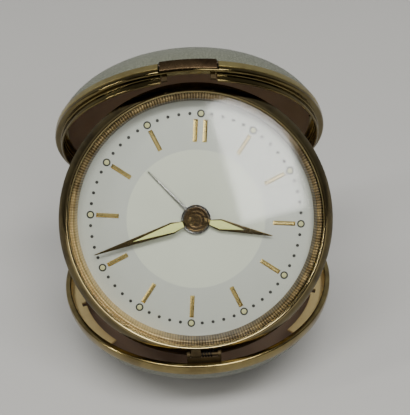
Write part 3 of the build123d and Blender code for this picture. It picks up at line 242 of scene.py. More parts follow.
grained_paint, where = new_finish("grained_paint", roughness=0.42, coat=0.15, coat_roughness=0.35)
grain = where.node("TexVoronoi", {"feature": "DISTANCE_TO_EDGE"}, {
    "Vector": where, "Scale": 1 / grain_size, "Randomness": 0.9,
})
creases = grain.eased(0.02, 0.16)
patches = noise(where, patch_size, 4.0, 0.6)
rubbed = noise(where, rub_size, 5.0, 0.7).eased(0.60, 0.72) * creases
colour = (creases * 0.6 + patches * 0.5).mixed(paint_dark, paint_light)
rubbed.mixed(colour, paint_rubbed).into("Base Color")
(0.5 - creases * 0.16 + patches * 0.1).into("Roughness")
(creases + noise(where, pore_size, 2.0) * 0.35).raised(grain_height).into("Normal")

cover_radius = 0.0383
cover_depth = 0.0200
cover_wall = 0.0005
cover_start = 0.0015
dome_points = 48


def dome_outline(across, deep, start):
    """Points of a quarter ellipse, from this height to its pole."""
    first = math.asin(start / deep)
    angles = [first + (math.pi / 2 - first) * n / dome_points for n in range(dome_points)]
    return [(across * math.cos(angle), deep * math.sin(angle)) for angle in angles] + [(0, deep)]


def dome_wall(across, deep, wall, start):
    """A domed shell as an open outline, from the pole inside to the pole outside."""
    inside = dome_outline(across - wall, deep - wall, start)
    outside = dome_outline(across, deep, start)
    return inside[::-1] + outside


front = math.pi / 2
window_half = math.radians(11.7)
window_near = 0.0004
window_far = 0.0036
window_inside = 0.03664
window_outside = 0.03930


def swept(outline, middle, half, steps):
    """An outline turned this far to each side of a bearing."""
    return turned(outline, start=middle - half, turn=2 * half, steps=steps)


def ring_block(inside, outside, near, far, middle, half, steps=24):
    """A block with curved sides, this far to each side of a bearing."""
    return swept([(inside, near), (outside, near), (outside, far), (inside, far)], middle, half, steps)


def catch_window():
    """The block that opens the catch's window through the lid's cover, rim and ledge."""
    return ring_block(window_inside, window_outside, window_near, window_far, front, window_half)


cover_mesh = turned(dome_wall(cover_radius, cover_depth, cover_wall, cover_start), closed=False)
piece("base_cover_skin", base_place, [cover_mesh], grained_paint, "base", ["base_cover"])
opened_cover = cut(cover_mesh, catch_window())
piece("lid_cover_skin", lid_place, [opened_cover], grained_paint, "lid", ["lid_cover"])

# The rims: rolled brass bands, polished once and now with cloudy brown tarnish. The base's band is also
# darkened overall as painted shade. Each holds its cover's edge in a groove. The lid's band is satin, and
# below it a bead and a polished neck drop into the base when the case is shut. The neck is painted near
# black as painted shade and painted dark reflection. The neck is cut away at the catch to clear the head's
# hinge.
rim_inside = 0.0370
neck_inside = 0.0362
neck_outside = 0.03685
neck_reach = 0.0019
rim_outside = 0.0386
rim_lip = 0.0032
bead = 0.0005
inner_bead = 0.00035
groove_play = 0.00006
lip_wall = 0.00036
rim_round = 0.00008
lid_round = 0.00006
ring_steps = 256
nearly_straight = math.radians(155)
most_of_half = 0.45
corner_steps = 4


def curved(middle, radius, first, last, steps=8):
    """Points of an arc about a middle, from one angle to another, in degrees."""
    x, y = middle
    angles = [math.radians(first + (last - first) * n / steps) for n in range(steps + 1)]
    return [(x + radius * math.cos(angle), y + radius * math.sin(angle)) for angle in angles]


def softened(outline, radius):
    """The outline with its sharp corners rounded."""
    rounded = []
    for n, point in enumerate(outline):
        corner = Vector(point)
        before = Vector(outline[n - 1]) - corner
        after = Vector(outline[(n + 1) % len(outline)]) - corner
        if before.angle(after) > nearly_straight:
            rounded.append(tuple(corner))
            continue
        reach = min(radius, before.length * most_of_half, after.length * most_of_half)
        first = corner + before.normalized() * reach
        last = corner + after.normalized() * reach
        for step in range(corner_steps + 1):
            share = step / corner_steps
            rounded.append(tuple(first.lerp(corner, share).lerp(corner.lerp(last, share), share)))
    return rounded


def stretched(where, scale, rotation=(0, 0, 0)):
    """A place on the surface, stretched so that a pattern on it runs in lines."""
    return where.node("Mapping", None, {"Vector": where, "Scale": scale, "Rotation": rotation})


cloud_size = 0.006
spot_size = 0.0012
scratch_size = 0.0009
turning_size = 0.0005
scratch_depth = 0.00002


def brass(name, light, dark, roughness, tarnish=0.5, scratch=0.5, brushed=0.0):
    """Brass with cloudy tarnish, spots and fine scratches. Brushed brass has rings of turning marks."""
    material, where = new_finish(name, metallic=1.0, roughness=roughness)
    clouds = noise(where, cloud_size, 5.0, 0.65)
    spots = noise(where, spot_size, 4.0, 0.7).eased(0.62, 0.75)
    aged = clouds.eased(0.35, 0.70) * tarnish + spots * 0.35 * tarnish
    aged.mixed(light, dark).into("Base Color")
    lines = noise(stretched(where, (1.0, 9.0, 3.0), (0.4, 0.2, 0.7)), scratch_size, 6.0, 0.8)
    (clouds * 0.16 + lines * 0.10 * scratch + (roughness - 0.11)).into("Roughness")
    marks = lines * scratch
    if brushed:
        marks = marks + noise(stretched(where, (1.0, 1.0, 14.0)), turning_size, 3.0, 0.7) * brushed
    marks.raised(scratch_depth, 0.5).into("Normal")
    return material


# The base's band: real cloudy tarnish over brass darkened overall as painted shade.
rim_brass = brass(
    "rim_brass", (0.25, 0.196, 0.082, 1), (0.115, 0.084, 0.035, 1), roughness=0.20, tarnish=0.75
)
# Near-black brass for the lid's neck and ledge: painted shade and painted dark reflection.
lid_shade_brass = brass(
    "lid_shade_brass", (0.150, 0.118, 0.048, 1), (0.062, 0.044, 0.020, 1), roughness=0.12, tarnish=0.6,
    scratch=0.3,
)
band_brass = brass(
    "band_brass", (0.36, 0.30, 0.125, 1), (0.20, 0.150, 0.058, 1), roughness=0.34, tarnish=0.7,
    brushed=0.3,
)


def groove_radius(height):
    """Radius of the groove that holds the cover's edge."""
    return cover_radius * math.sqrt(1 - (height / cover_depth) ** 2) + groove_play


groove = [
    (groove_radius(cover_start), cover_start), (groove_radius(rim_lip), rim_lip),
    (groove_radius(rim_lip) + lip_wall, rim_lip),
]
rim_outline = (
    [(rim_inside, cover_start)] + groove + [(rim_outside, cover_start)]
    + curved((rim_outside - bead, bead), bead, 0, -90)
    + curved((rim_inside + inner_bead, inner_bead), inner_bead, -90, -180)
)
rim_mesh = turned(softened(rim_outline, rim_round), steps=ring_steps)
hook_side = math.radians(9.7)
keeper_half = math.radians(2.2)
keeper_inside = 0.03694
keeper_outside = 0.03755
keeper_near = 0.0007
keeper_far = 0.00156
notch_radius = 0.0016
notch_length = 0.0166


def keeper_slot(side):
    """The block that cuts one of the base rim's two slots for the catch's hooks."""
    bearing = front + side * hook_side
    return ring_block(keeper_inside, keeper_outside, keeper_near, keeper_far, bearing, keeper_half, 12)


def cross_rod(radius, start, end, at):
    """A rod that lies along X beside a point, from start to end. It clears a ring for a hinge."""
    rod = turned([(0, start), (radius, start), (radius, end), (0, end)], closed=False, steps=48)
    return shifted(rod, Matrix.Translation(at) @ Matrix.Rotation(math.pi / 2, 4, "Y"))


def hinge_notch():
    """The rod that clears a rim for the lid's hinge."""
    return cross_rod(notch_radius, -notch_length / 2, notch_length / 2, (0, -hinge_at.y, 0))


base_rim = cut(rim_mesh, hinge_notch(), keeper_slot(-1), keeper_slot(1))
piece("base_rim_band", base_place, [base_rim], rim_brass, "base", ["base_rim"])
band_edge = 0.00155
band_foot = 0.00140
neck_top = 0.00138
neck_edge = 0.00125
neck_bead = 0.0006
neck_round = 0.000325
edge_step = 0.0002
band_outline = [(neck_inside, cover_start)] + groove + [
    (rim_outside, band_edge), (rim_outside - edge_step, band_foot), (neck_inside, band_foot),
]
neck_outline = (
    [(neck_inside, neck_top), (rim_outside - edge_step, neck_top), (rim_outside, neck_edge)]
    + curved((rim_outside - neck_bead, neck_bead), neck_bead, 0, -90)
    + [(neck_outside + edge_step, 0.0), (neck_outside, -edge_step)]
    + curved(((neck_inside + neck_outside) / 2, -neck_reach + neck_round), neck_round, 0, -180)
)
gap_half = math.radians(11.4)
gap_inside = 0.03605
gap_near = -0.00205


def neck_gap():
    """The block that cuts the neck away at the catch."""
    return ring_block(gap_inside, rim_inside, gap_near, band_edge, front, gap_half)


def lid_ring(outline):
    """A ring of the lid's rim, opened at the hinge and at the catch."""
    ring = turned(softened(outline, lid_round), steps=ring_steps)
    return cut(ring, hinge_notch(), catch_window(), neck_gap())


piece("lid_rim_band", lid_place, [lid_ring(band_outline)], band_brass, "lid", ["lid_rim"])
piece("lid_rim_neck", lid_place, [lid_ring(neck_outline)], lid_shade_brass, "lid")

# The ledges: stamped brass shelves with a satin face, gilded and little worn because the case covers them.
# Small notches mark where they were riveted. The base's ledge is cut away in front of the clock head, and
# the lid's is painted near black like the neck, as painted shade.
ledge_brass = brass(
    "ledge_brass", (1.0, 0.82, 0.42, 1), (0.74, 0.56, 0.24, 1), roughness=0.52, tarnish=0.4, brushed=0.6
)
ledge_inside = 0.0334
lid_ledge_inside = 0.0347
ledge_top = 0.0026
ledge_wall = 0.0005
ledge_flange = 0.00028
ledge_slope = 0.0007
lid_ledge_slope = 0.0002


def ledge_ring(wall, inside, slope):
    """A shelf with a short wall that stands in its rim. A slope joins the two."""
    low = ledge_top + ledge_wall
    outline = [
        (wall, cover_start), (rim_inside + ledge_flange, cover_start), (rim_inside + ledge_flange, low),
        (inside, low), (inside, ledge_top), (wall - slope, ledge_top), (wall, ledge_top - slope * 0.9),
    ]
    return turned(softened(outline, slope * 0.5), steps=ring_steps)


shelf_cut_inside = 0.0325
shelf_cut_near = 0.0022
shelf_cut_far = 0.0036


def ledge_cut(degrees, half, reach):
    """The block that cuts the shelf from its inner edge out to this radius."""
    bearing = front + math.radians(degrees)
    return ring_block(shelf_cut_inside, reach, shelf_cut_near, shelf_cut_far, bearing, half, 48)


rivet_half = math.radians(1.4)
rivet_reach = 0.0347
lid_rivet_reach = 0.0360
base_notches = [ledge_cut(degrees, rivet_half, rivet_reach) for degrees in (-76, 76)]
lid_notches = [ledge_cut(degrees, rivet_half, lid_rivet_reach) for degrees in (-79, 79)]
front_gap = ledge_cut(0, math.radians(45), rim_inside)

base_ring = ledge_ring(rim_inside, ledge_inside, ledge_slope)
base_ledge = cut(base_ring, front_gap, *base_notches)
piece("base_ledge_shelf", base_place, [base_ledge], ledge_brass, "base", ["base_ledge"])
lid_shelf = ledge_ring(neck_inside, lid_ledge_inside, lid_ledge_slope)
lid_ledge = cut(lid_shelf, catch_window(), neck_gap(), *lid_notches)
piece("lid_ledge_shelf", lid_place, [lid_ledge], lid_shade_brass, "lid", ["lid_ledge"])

# The linings: thin bowls moulded in plum-brown plastic, laid loose behind the ledges.
# They are dusty and a little dull, with faint flow marks.
plum_light = (0.340, 0.245, 0.180, 1)
plum_dark = (0.215, 0.152, 0.110, 1)
flow_size = 0.012
dust_size = 0.0006
flow_height = 0.00006
plum_plastic, where = new_finish("plum_plastic", roughness=0.38, coat=0.15, coat_roughness=0.25)
flow = noise(where, flow_size, 4.0, 0.6)
dust = noise(where, dust_size, 5.0, 0.75).eased(0.55, 0.8)
(flow * 0.7 + dust * 0.5).mixed(plum_dark, plum_light).into("Base Color")
(flow * 0.15 + dust * 0.25 + 0.3).into("Roughness")
(flow * 0.4 + dust * 0.2).raised(flow_height, 0.6).into("Normal")

lining_radius = 0.0377
lining_depth = 0.0194
lining_wall = 0.0005
lining_outline = dome_wall(lining_radius, lining_depth, lining_wall, ledge_top + ledge_wall)
lining = [turned(lining_outline, closed=False)]
piece("base_lining_bowl", base_place, lining, plum_plastic, "base", ["base_lining"])
piece("lid_lining_bowl", lid_place, lining, plum_plastic, "lid", ["lid_lining"])

# The foot: a flat round pad of black rubber, glued under the base.
# It is scuffed grey where it has rubbed on tables.
rubber_black = (0.022, 0.022, 0.021, 1)
rubber_scuffed = (0.075, 0.072, 0.066, 1)
scuff_size = 0.002
pit_size = 0.0004
pit_depth = 0.00005
foot_rubber, where = new_finish("foot_rubber", roughness=0.85)
scuff = noise(where, scuff_size, 5.0, 0.7)
scuff.mixed(rubber_black, rubber_scuffed).into("Base Color")
(scuff * 0.2 + 0.7).into("Roughness")
noise(where, pit_size, 3.0).raised(pit_depth).into("Normal")


def finished(finish, *names):
    """Gives these pieces of the frame a finish."""
    for name in names:
        mesh = frame["nodes"][name].data
        mesh.materials.clear()
        mesh.materials.append(finish)
        mesh.polygons.foreach_set("use_smooth", [True] * len(mesh.polygons))
        mesh.set_sharp_from_angle(angle=math.radians(30))


finished(foot_rubber, "base_foot")

# The lid's hinge: two brass leaves brazed to the rims, on a steel pin. The clock head's hinge is at the
# front of the base: a strip with two eyes, a knuckle on the bezel and a pin, all painted near-black brown
# as painted shade, and a steel coil, painted near black as painted shade, that lifts the head.
hinge_brass = brass(
    "hinge_brass", (0.66, 0.48, 0.20, 1), (0.32, 0.21, 0.08, 1), roughness=0.30, tarnish=0.6, brushed=0.3
)
# Near-black brass, painted shade for the head's hinge and the catch's legs, which sit in shadow.
shade_dark_brass = brass(
    "shade_dark_brass", (0.075, 0.055, 0.028, 1), (0.028, 0.020, 0.010, 1), roughness=0.62, tarnish=0.8
)
finished(hinge_brass, "base_hinge_leaf", "lid_hinge_leaf")
finished(shade_dark_brass, "head_hinge_bracket", "head_knuckle", "head_hinge_pin")
steel_grain = 0.0006
steel_depth = 0.00001


def steel(name, light, dark, roughness):
    """Drawn or ground steel with a fine lengthwise grain."""
    material, where = new_finish(name, metallic=1.0, roughness=roughness)
    lines = noise(stretched(where, (1.0, 5.0, 5.0)), steel_grain, 5.0, 0.7)
    lines.eased(0.3, 0.8).mixed(light, dark).into("Base Color")
    (lines * 0.18 + roughness - 0.08).into("Roughness")
    lines.raised(steel_depth, 0.4).into("Normal")
    return material


pin_steel = steel("pin_steel", (0.40, 0.39, 0.36, 1), (0.22, 0.21, 0.19, 1), roughness=0.34)
# Near-black steel: painted shade for the head's hinge coil; the hidden springs share it.
spring_steel = steel("spring_steel", (0.018, 0.017, 0.018, 1), (0.007, 0.0065, 0.007, 1), roughness=0.62)
finished(pin_steel, "lid_hinge_pin", "cover_screws", "plate_pillars", "plate_screws",
         "pallet_lever", "alarm_hammer", "regulator", "alarm_stop_lever")
finished(spring_steel, "head_hinge_spring", "catch_spring", "hairspring", "mainspring")

# The catch: a flat push bar of brass, worn dark by fingers, in a window of the lid's rim. Two hooked legs
# behind it reach past the edge into the base.
catch_brass = brass(
    "catch_brass", (0.075, 0.050, 0.026, 1), (0.022, 0.014, 0.008, 1), roughness=0.26, tarnish=1.0,
    scratch=0.9,
)
bar_half = math.radians(10.85)
bar_inside = 0.0379
bar_outside = 0.03895
bar_near = 0.0005
bar_far = 0.00335
bar_round = 0.00022
bar_outline = [
    (bar_inside, bar_near), (bar_outside, bar_near), (bar_outside, bar_far), (bar_inside, bar_far),
]
leg_half = math.radians(1.1)
leg_inside = 0.03655
leg_outside = 0.0369
leg_top = 0.0014
leg_round = 0.00006
hook_tip = 0.0373
hook_foot = -0.0015
hook_top = -0.0010
leg_outline = [
    (rim_outside, bar_near), (rim_outside, leg_top), (leg_inside, leg_top), (leg_inside, hook_foot),
    (hook_tip, hook_foot), (hook_tip, hook_top), (leg_outside, hook_top), (leg_outside, bar_near),
]
bar = swept(softened(bar_outline, bar_round), front, bar_half, steps=40)
legs = [
    swept(softened(leg_outline, leg_round), front + side * hook_side, leg_half, steps=8) for side in (-1, 1)
]
piece("catch_bar", lid_place, [bar], catch_brass, "catch", ["catch_button"])
# The legs are painted near black as painted shade.
piece("catch_legs", lid_place, legs, shade_dark_brass, "catch")

# The bezel: a turned brass ring that holds the glass, with a painted highlight on its crest and a wall
# painted dark, partly as tarnish and partly as painted dark reflection.
# Two grooves across its foot clear the hinge.
head_out = Vector(joints["minute_turn"]["axis"])
head_way = head_out.cross(right_way)
head_pin = Vector(joints["head_hinge"]["pos_m"])
head_reach = 0.0353
head_forward = 0.0023
head_centre = head_pin + head_way * head_reach - head_out * head_forward
head_place = place_at(head_centre, right_way, head_out)
crest_highlight_colour = (0.27, 0.215, 0.105, 1)
wall_light = (0.130, 0.102, 0.045, 1)
wall_dark = (0.058, 0.044, 0.022, 1)
crest_edge = 0.03405
wall_start = 0.03440
bezel_grain = 0.0006
bezel_grain_depth = 0.00001
bezel_brass, where = new_finish("bezel_brass", metallic=1.0, roughness=0.14)
bezel_clouds = noise(where, cloud_size, 5.0, 0.65)
flat_place = where.node("VectorMath", {"operation": "MULTIPLY"}, {0: where, 1: (1, 1, 0)})
from_axis = where.node("VectorMath", {"operation": "LENGTH"}, {0: flat_place}, output=1)
# Painted highlight: inside this radius the crest is painted much lighter than the wall.
painted_crest_highlight = 1 - from_axis.eased(crest_edge, wall_start)
tarnished_and_shaded_wall = bezel_clouds.eased(0.35, 0.7).mixed(wall_light, wall_dark)
painted_crest_highlight.mixed(tarnished_and_shaded_wall, crest_highlight_colour).into("Base Color")
(bezel_clouds * 0.14 + 0.07).into("Roughness")
noise(where, bezel_grain, 4.0, 0.7).raised(bezel_grain_depth, 0.4).into("Normal")


def through(first, middle, last, steps=14):
    """Points of the arc through three points."""
    (ax, ay), (bx, by), (cx, cy) = first, middle, last
    area = 2 * (ax * (by - cy) + bx * (cy - ay) + cx * (ay - by))
    a, b, c = ax * ax + ay * ay, bx * bx + by * by, cx * cx + cy * cy
    x = (a * (by - cy) + b * (cy - ay) + c * (ay - by)) / area
    y = (a * (cx - bx) + b * (ax - cx) + c * (bx - ax)) / area
    start = math.degrees(math.atan2(ay - y, ax - x))
    end = math.degrees(math.atan2(cy - y, cx - x))
    turn = (end - start + 180) % 360 - 180
    return curved((x, y), math.hypot(ax - x, ay - y), start, start + turn, steps)


bezel_radius = 0.0360
bezel_bore = 0.03285
bezel_seat = 0.03325
bezel_foot = -0.0012
bezel_slope = 0.0004
bezel_waist = 0.0002
bezel_round = 0.0002
bezel_shoulder = (0.03515, 0.0013)
bezel_crest = (0.0339, 0.0024)
bezel_lip = (0.03355, 0.0023125)
bezel_lip_height = 0.0017
bezel_wall = [
    (bezel_seat, bezel_waist), (bezel_bore, bezel_waist), (bezel_bore, bezel_foot),
    (bezel_radius - bezel_slope, bezel_foot), (bezel_radius, bezel_foot + bezel_slope),
    (bezel_radius, bezel_waist),
]
bezel_outline = (
    softened(bezel_wall, bezel_round)[:-corner_steps - 1]
    + through(bezel_wall[-1], bezel_shoulder, bezel_crest)
    + through(bezel_crest, bezel_lip, (bezel_seat, bezel_lip_height))[1:]
)
knuckle_clearance = 0.00125
eye_spans = ((-0.0049, -0.00345), (-0.00075, 0.0049))
head_rods = [
    cross_rod(knuckle_clearance, start, end, (0, -head_reach, head_forward)) for start, end in eye_spans
]
bezel_mesh = cut(turned(bezel_outline, steps=ring_steps), *head_rods)
piece("bezel_ring", head_place, [bezel_mesh], bezel_brass, "head", ["bezel"])

# The glass: a domed crystal of clear acrylic with a straight edge, sprung into the bezel's seat.
# It is lightly scratched and hazed.
glass_radius = 0.0332
glass_wall = 0.0009
glass_edge = 0.00145
glass_rise = 0.0033
glass_foot = 0.00065
glass_steps = 40
glass_curve = (glass_radius ** 2 + glass_rise ** 2) / (2 * glass_rise)


def glass_arc(radius, edge):
    """Points of the crystal's dome, from its pole to this edge radius."""
    sunk = glass_edge + glass_rise - glass_curve
    angles = [math.asin(edge / radius) * n / glass_steps for n in range(glass_steps + 1)]
    return [(radius * math.sin(angle), sunk + radius * math.cos(angle)) for angle in angles]


glass_inside = glass_radius - glass_wall
glass_outline = (
    glass_arc(glass_curve, glass_radius)
    + [(glass_radius, glass_foot), (glass_inside, glass_foot)]
    + glass_arc(glass_curve - glass_wall, glass_inside)[::-1]
)
mirror_limit = 0.14
haze_size = 0.004
glass_scratch_size = 0.0015
glass_scratch_depth = 0.000004
clear_glass = bpy.data.materials.new("clear_glass")
clear_glass.use_nodes = True
glass_tree = clear_glass.node_tree
glass_tree.nodes.remove(glass_tree.nodes["Principled BSDF"])
where = Field(glass_tree).node("TexCoord", output=3)
scratches = noise(stretched(where, (1.0, 6.0, 1.0)), glass_scratch_size, 6.0, 0.8)
haze = noise(where, haze_size, 5.0, 0.7)
gloss = where.node("BsdfGlossy", None, {
    "Color": (1, 1, 1, 1), "Roughness": haze * 0.06 + 0.055,
    "Normal": scratches.raised(glass_scratch_depth, 0.3),
})
clear = where.node("BsdfTransparent", None, {"Color": (0.985, 0.99, 0.982, 1)})
mirror_share = where.maths("MINIMUM", where.node("Fresnel", None, {"IOR": 1.49}) * 0.9, mirror_limit)
sheer = where.node("MixShader", None, {0: mirror_share, 1: clear, 2: gloss})
glass_tree.links.new(sheer.socket, glass_tree.nodes["Material Output"].inputs["Surface"])
glass_mesh = turned(glass_outline, closed=False, steps=ring_steps)
piece("crystal_dome", head_place, [glass_mesh], clear_glass, "head", ["crystal"])

# The inner ring: a finely knurled brass slope between glass and dial. Its gold is painted bright at the
# lower left, where light falls on it, and painted dark brown elsewhere as painted shade, over cloudy
# tarnish.
ring_gilt = (0.92, 0.68, 0.32, 1)
ring_tarnish_and_shade = (0.075, 0.050, 0.023, 1)
knurl_count = 280.0
knurl_height = 0.00006
lit_side_end = -0.031
shade_start = -0.017
ring_brass, where = new_finish("ring_brass", metallic=1.0, roughness=0.30)
across_x = where.node("SeparateXYZ", None, {"Vector": where}, output=0)
across_y = where.node("SeparateXYZ", None, {"Vector": where}, output=1)
bearing = where.maths("ARCTAN2", across_y, across_x)
knurl = where.maths("SINE", bearing * knurl_count) * 0.5 + 0.5
ring_clouds = noise(where, 0.003, 5.0, 0.7)
# Painted shade by bearing: darker away from the lower left, where light falls on the ring.
painted_shade_by_bearing = (across_x * 0.85 + across_y * 0.53).eased(lit_side_end, shade_start)
ring_age_and_shade = ring_clouds.eased(0.3, 0.75) * 0.25 + (1 - knurl) * 0.25 + painted_shade_by_bearing * 0.65
ring_age_and_shade.mixed(ring_gilt, ring_tarnish_and_shade).into("Base Color")
(ring_clouds * 0.2 + 0.26).into("Roughness")
(knurl + noise(where, 0.0004, 4.0, 0.7) * 0.2).raised(knurl_height, 0.8).into("Normal")
ring_inside = 0.0314
ring_outside = 0.03215
ring_foot = -0.0030
ring_edge = 0.00025
ring_shelf = 0.00025
ring_lip = 0.0323
ring_shoulder = 0.03185
ring_round = 0.00008
ring_outline = [
    (ring_inside, ring_foot), (ring_outside, ring_foot), (ring_outside, ring_shelf),
    (glass_radius, ring_shelf), (glass_radius, glass_foot), (ring_lip, glass_foot),
    (ring_shoulder, ring_shelf), (ring_inside, ring_foot + ring_edge),
]
ring_mesh = turned(softened(ring_outline, ring_round), steps=ring_steps)
piece("knurled_ring", head_place, [ring_mesh], ring_brass, "head", ["inner_ring"])

# The dial: a thin plate lacquered silver grey, with a paler cream disc in the middle.
# Sixty marks are printed round it: small black dots, and rings that hold the luminous dots.
dial_turn = math.radians(5.8)
clock_place = head_place @ Matrix.Rotation(-dial_turn, 4, "Z")
dial_face = -0.0030
dial_back = -0.0034
dial_bore = 0.00215
dial_radius = 0.03215
dial_round = 0.00004
disc_radius = 0.0186
disc_edge = 0.0002
dial_grey = (0.430, 0.447, 0.405, 1)
dial_cream = (0.535, 0.560, 0.470, 1)
dial_stain = (0.400, 0.400, 0.330, 1)
dial_paint, where = new_finish("dial_paint", roughness=0.48, coat=0.2, coat_roughness=0.35)
away = where.node("VectorMath", {"operation": "LENGTH"}, {0: where}, output=1)
inner_disc = 1 - away.eased(disc_radius, disc_radius + disc_edge)
age = noise(where, 0.010, 5.0, 0.6).eased(0.45, 0.85)
specks = noise(where, 0.0004, 2.0, 0.5).eased(0.74, 0.80)
ground = inner_disc.mixed(dial_grey, dial_cream)
(age * 0.25 + specks * 0.5).mixed(ground, dial_stain).into("Base Color")
(noise(where, 0.003, 4.0) * 0.12 + 0.40).into("Roughness")
(noise(where, 0.00025, 3.0) * 0.5 + inner_disc).raised(0.000012, 0.5).into("Normal")
dial_outline = [
    (dial_bore, dial_back), (dial_radius, dial_back), (dial_radius, dial_face), (dial_bore, dial_face),
]
dial_mesh = turned(softened(dial_outline, dial_round), steps=ring_steps)
piece("dial_plate", clock_place, [dial_mesh], dial_paint, "head", ["dial"])

mark_radius = 0.0280
dot_radius = 0.00044
print_height = 0.00002
printed_ring_radius = 0.00105
lume_radius = 0.00066


def round_about(mesh_maker, angles, reach, aside=0.0):
    """Copies of a mesh set round the dial at these angles, clockwise from 12."""
    outward = Matrix.Translation((aside, reach, dial_face))
    return [shifted(mesh_maker(), Matrix.Rotation(-angle, 4, "Z") @ outward) for angle in angles]


black_print, where = new_finish("black_print", roughness=0.45)
noise(where, 0.0003, 3.0).mixed((0.008, 0.008, 0.007, 1), (0.030, 0.028, 0.024, 1)).into("Base Color")
(noise(where, 0.0006) * 0.2 + 0.35).into("Roughness")
hour_angles = [math.tau * n / 12 for n in range(12)]
minute_angles = [math.tau * n / 60 for n in range(60) if n % 5]


def printed_dot():
    """A minute's dot of ink."""
    dome = [(0, print_height), (dot_radius, print_height * 0.6), (dot_radius, 0)]
    return turned(dome, closed=False, steps=20)


def printed_ring():
    """The ring of ink round an hour's luminous dot."""
    inner, outer, high = lume_radius, printed_ring_radius, print_height * 2
    return turned([(inner, 0), (outer, 0), (outer, high), (inner, high)], steps=32)


minute_marks = round_about(printed_dot, minute_angles, mark_radius)
hour_marks = round_about(printed_ring, hour_angles, mark_radius)
piece("printed_marks", clock_place, minute_marks + hour_marks, black_print, "head")

# The luminous paste: a chalky paint, once green and now yellow, in the rings and the hands. It is mottled
# and a little grubby, and stands slightly proud of the dial.
paste_top = 0.00012


def luminous(name, green, yellow, brown):
    """Chalky paste, mottled and a little grubby."""
    material, where = new_finish(name, roughness=0.9)
    mottle = noise(where, 0.0009, 4.0, 0.7)
    grubby = noise(where, 0.0003, 3.0, 0.6).eased(0.6, 0.85)
    (grubby * 0.5).mixed(mottle.mixed(green, yellow), brown).into("Base Color")
    (mottle * 0.2 + 0.75).into("Roughness")
    mottle.raised(0.00004).into("Normal")
    return material


hand_lume = luminous("hand_lume", (0.56, 0.64, 0.20, 1), (0.70, 0.69, 0.30, 1), (0.40, 0.36, 0.17, 1))
dot_lume = luminous("dot_lume", (0.40, 0.42, 0.20, 1), (0.52, 0.50, 0.28, 1), (0.24, 0.21, 0.11, 1))


def paste_dot():
    """A low dome of paste that fills an hour's ring."""
    slopes = [n * math.pi / 12 for n in range(7)]
    dome = [(lume_radius * math.cos(slope), paste_top * math.sin(slope)) for slope in slopes]
    return turned(dome, closed=False, steps=28)


paste_dots = round_about(paste_dot, hour_angles, mark_radius)
piece("paste_dots", clock_place, paste_dots, dot_lume, "head", ["lume_dots"])

# The hour batons: gilt brass bars with bevelled sides, pinned to the dial, two of them at 12.
# Their gilding is nearly whole.
baton_brass = brass(
    "baton_brass", (0.90, 0.71, 0.29, 1), (0.56, 0.42, 0.15, 1), roughness=0.28, tarnish=0.35, scratch=0.4
)
baton_middle = 0.02348
baton_length = 0.00594
baton_width = 0.00115
baton_height = 0.0004
baton_bevel = 0.00036
pair_spacing = 0.0026


def bevelled_bar():
    """A bar with a flat top and sloping sides, lying along Y."""
    levels = ((0, 0), (baton_height * 0.3, 0), (baton_height, baton_bevel))
    vertices = []
    for height, inset in levels:
        x = baton_width / 2 - inset
        y = baton_length / 2 - inset
        vertices += [(-x, -y, height), (x, -y, height), (x, y, height), (-x, y, height)]
    faces = [(3, 2, 1, 0), (8, 9, 10, 11)]
    for low in (0, 4):
        for n in range(4):
            after = (n + 1) % 4
            faces.append((low + n, low + after, low + 4 + after, low + 4 + n))
    mesh = bpy.data.meshes.new("bar")
    mesh.from_pydata(vertices, [], faces)
    return mesh


batons = round_about(bevelled_bar, hour_angles[1:], baton_middle)
for side in (-1, 1):
    batons += round_about(bevelled_bar, hour_angles[:1], baton_middle, side * pair_spacing / 2)
piece("bevelled_batons", clock_place, batons, baton_brass, "head", ["hour_batons"])

# The hands: the hour and minute hands are skeleton lances of dark gilt brass filled with luminous paste,
# and the alarm hand is a slim pointer of grey steel with a ridge down its middle.
hand_gilt = brass(
    "hand_gilt", (0.17, 0.125, 0.055, 1), (0.060, 0.042, 0.020, 1), roughness=0.28, tarnish=0.7
)
hub_gilt = brass("hub_gilt", (0.24, 0.165, 0.080, 1), (0.085, 0.055, 0.030, 1), roughness=0.24, tarnish=0.7)
hand_wall = 0.0002
hand_root = (0.0010, 0.0012)
hand_neck = (0.0036, 0.00075)
hand_belly = (0.0066, 0.00155)
hand_tip = 0.00013
hand_tip_length = 0.0002
hand_frame = 0.00036
window_margin = 0.0004
window_share = 0.62
window_start_half = 0.0006
window_end_half = 0.00007
paste_gap = 0.00002
paste_lift = 0.00001
hub_rim = 0.00028
hub_hollow = 0.00042
hub_collar = 0.0002
hub_round = 0.00005


def plate(outlines, low, high, edge=0.00003):
    """A flat piece cut to closed outlines, the first its rim and the others holes, with softened edges."""
    curve = bpy.data.curves.new("plate", "CURVE")
    curve.dimensions = "2D"
    curve.fill_mode = "BOTH"
    curve.extrude = (high - low) / 2 - edge
    curve.bevel_depth = edge
    curve.bevel_resolution = 2
    curve.offset = -edge
    for outline in outlines:
        spline = curve.splines.new("POLY")
        spline.points.add(len(outline) - 1)
        for point, (x, y) in zip(spline.points, outline):
            point.co = (x, y, 0, 1)
        spline.use_cyclic_u = True
    helper = bpy.data.objects.new("plate", curve)
    bpy.context.scene.collection.objects.link(helper)
    ready = helper.evaluated_get(bpy.context.evaluated_depsgraph_get())
    mesh = bpy.data.meshes.new_from_object(ready)
    bpy.data.objects.remove(helper)
    return shifted(tidied(mesh), Matrix.Translation((0, 0, (low + high) / 2)))


def mirrored(side):
    """A closed outline along Y from one side of it, given as (distance, half width) points."""
    return [(half, along) for along, half in side] + [(-half, along) for along, half in reversed(side)]


def pointing(angle):
    """The clock's place, turned so that Y points this many degrees clockwise from 12."""
    return clock_place @ Matrix.Rotation(-math.radians(angle), 4, "Z")


def hub(radius, low, high, bore):
    """A turned boss with a raised rim and a shallow hollow."""
    dish = (high - low) * 0.35
    sides = [
        (bore, low), (radius, low), (radius, high), (radius - hub_rim, high),
        (radius - hub_hollow, high - dish), (bore + hub_collar * 2, high - dish),
        (bore + hub_collar, high - dish * 0.4), (bore, high - dish * 0.4),
    ]
    return turned(softened(sides, hub_round), steps=96)


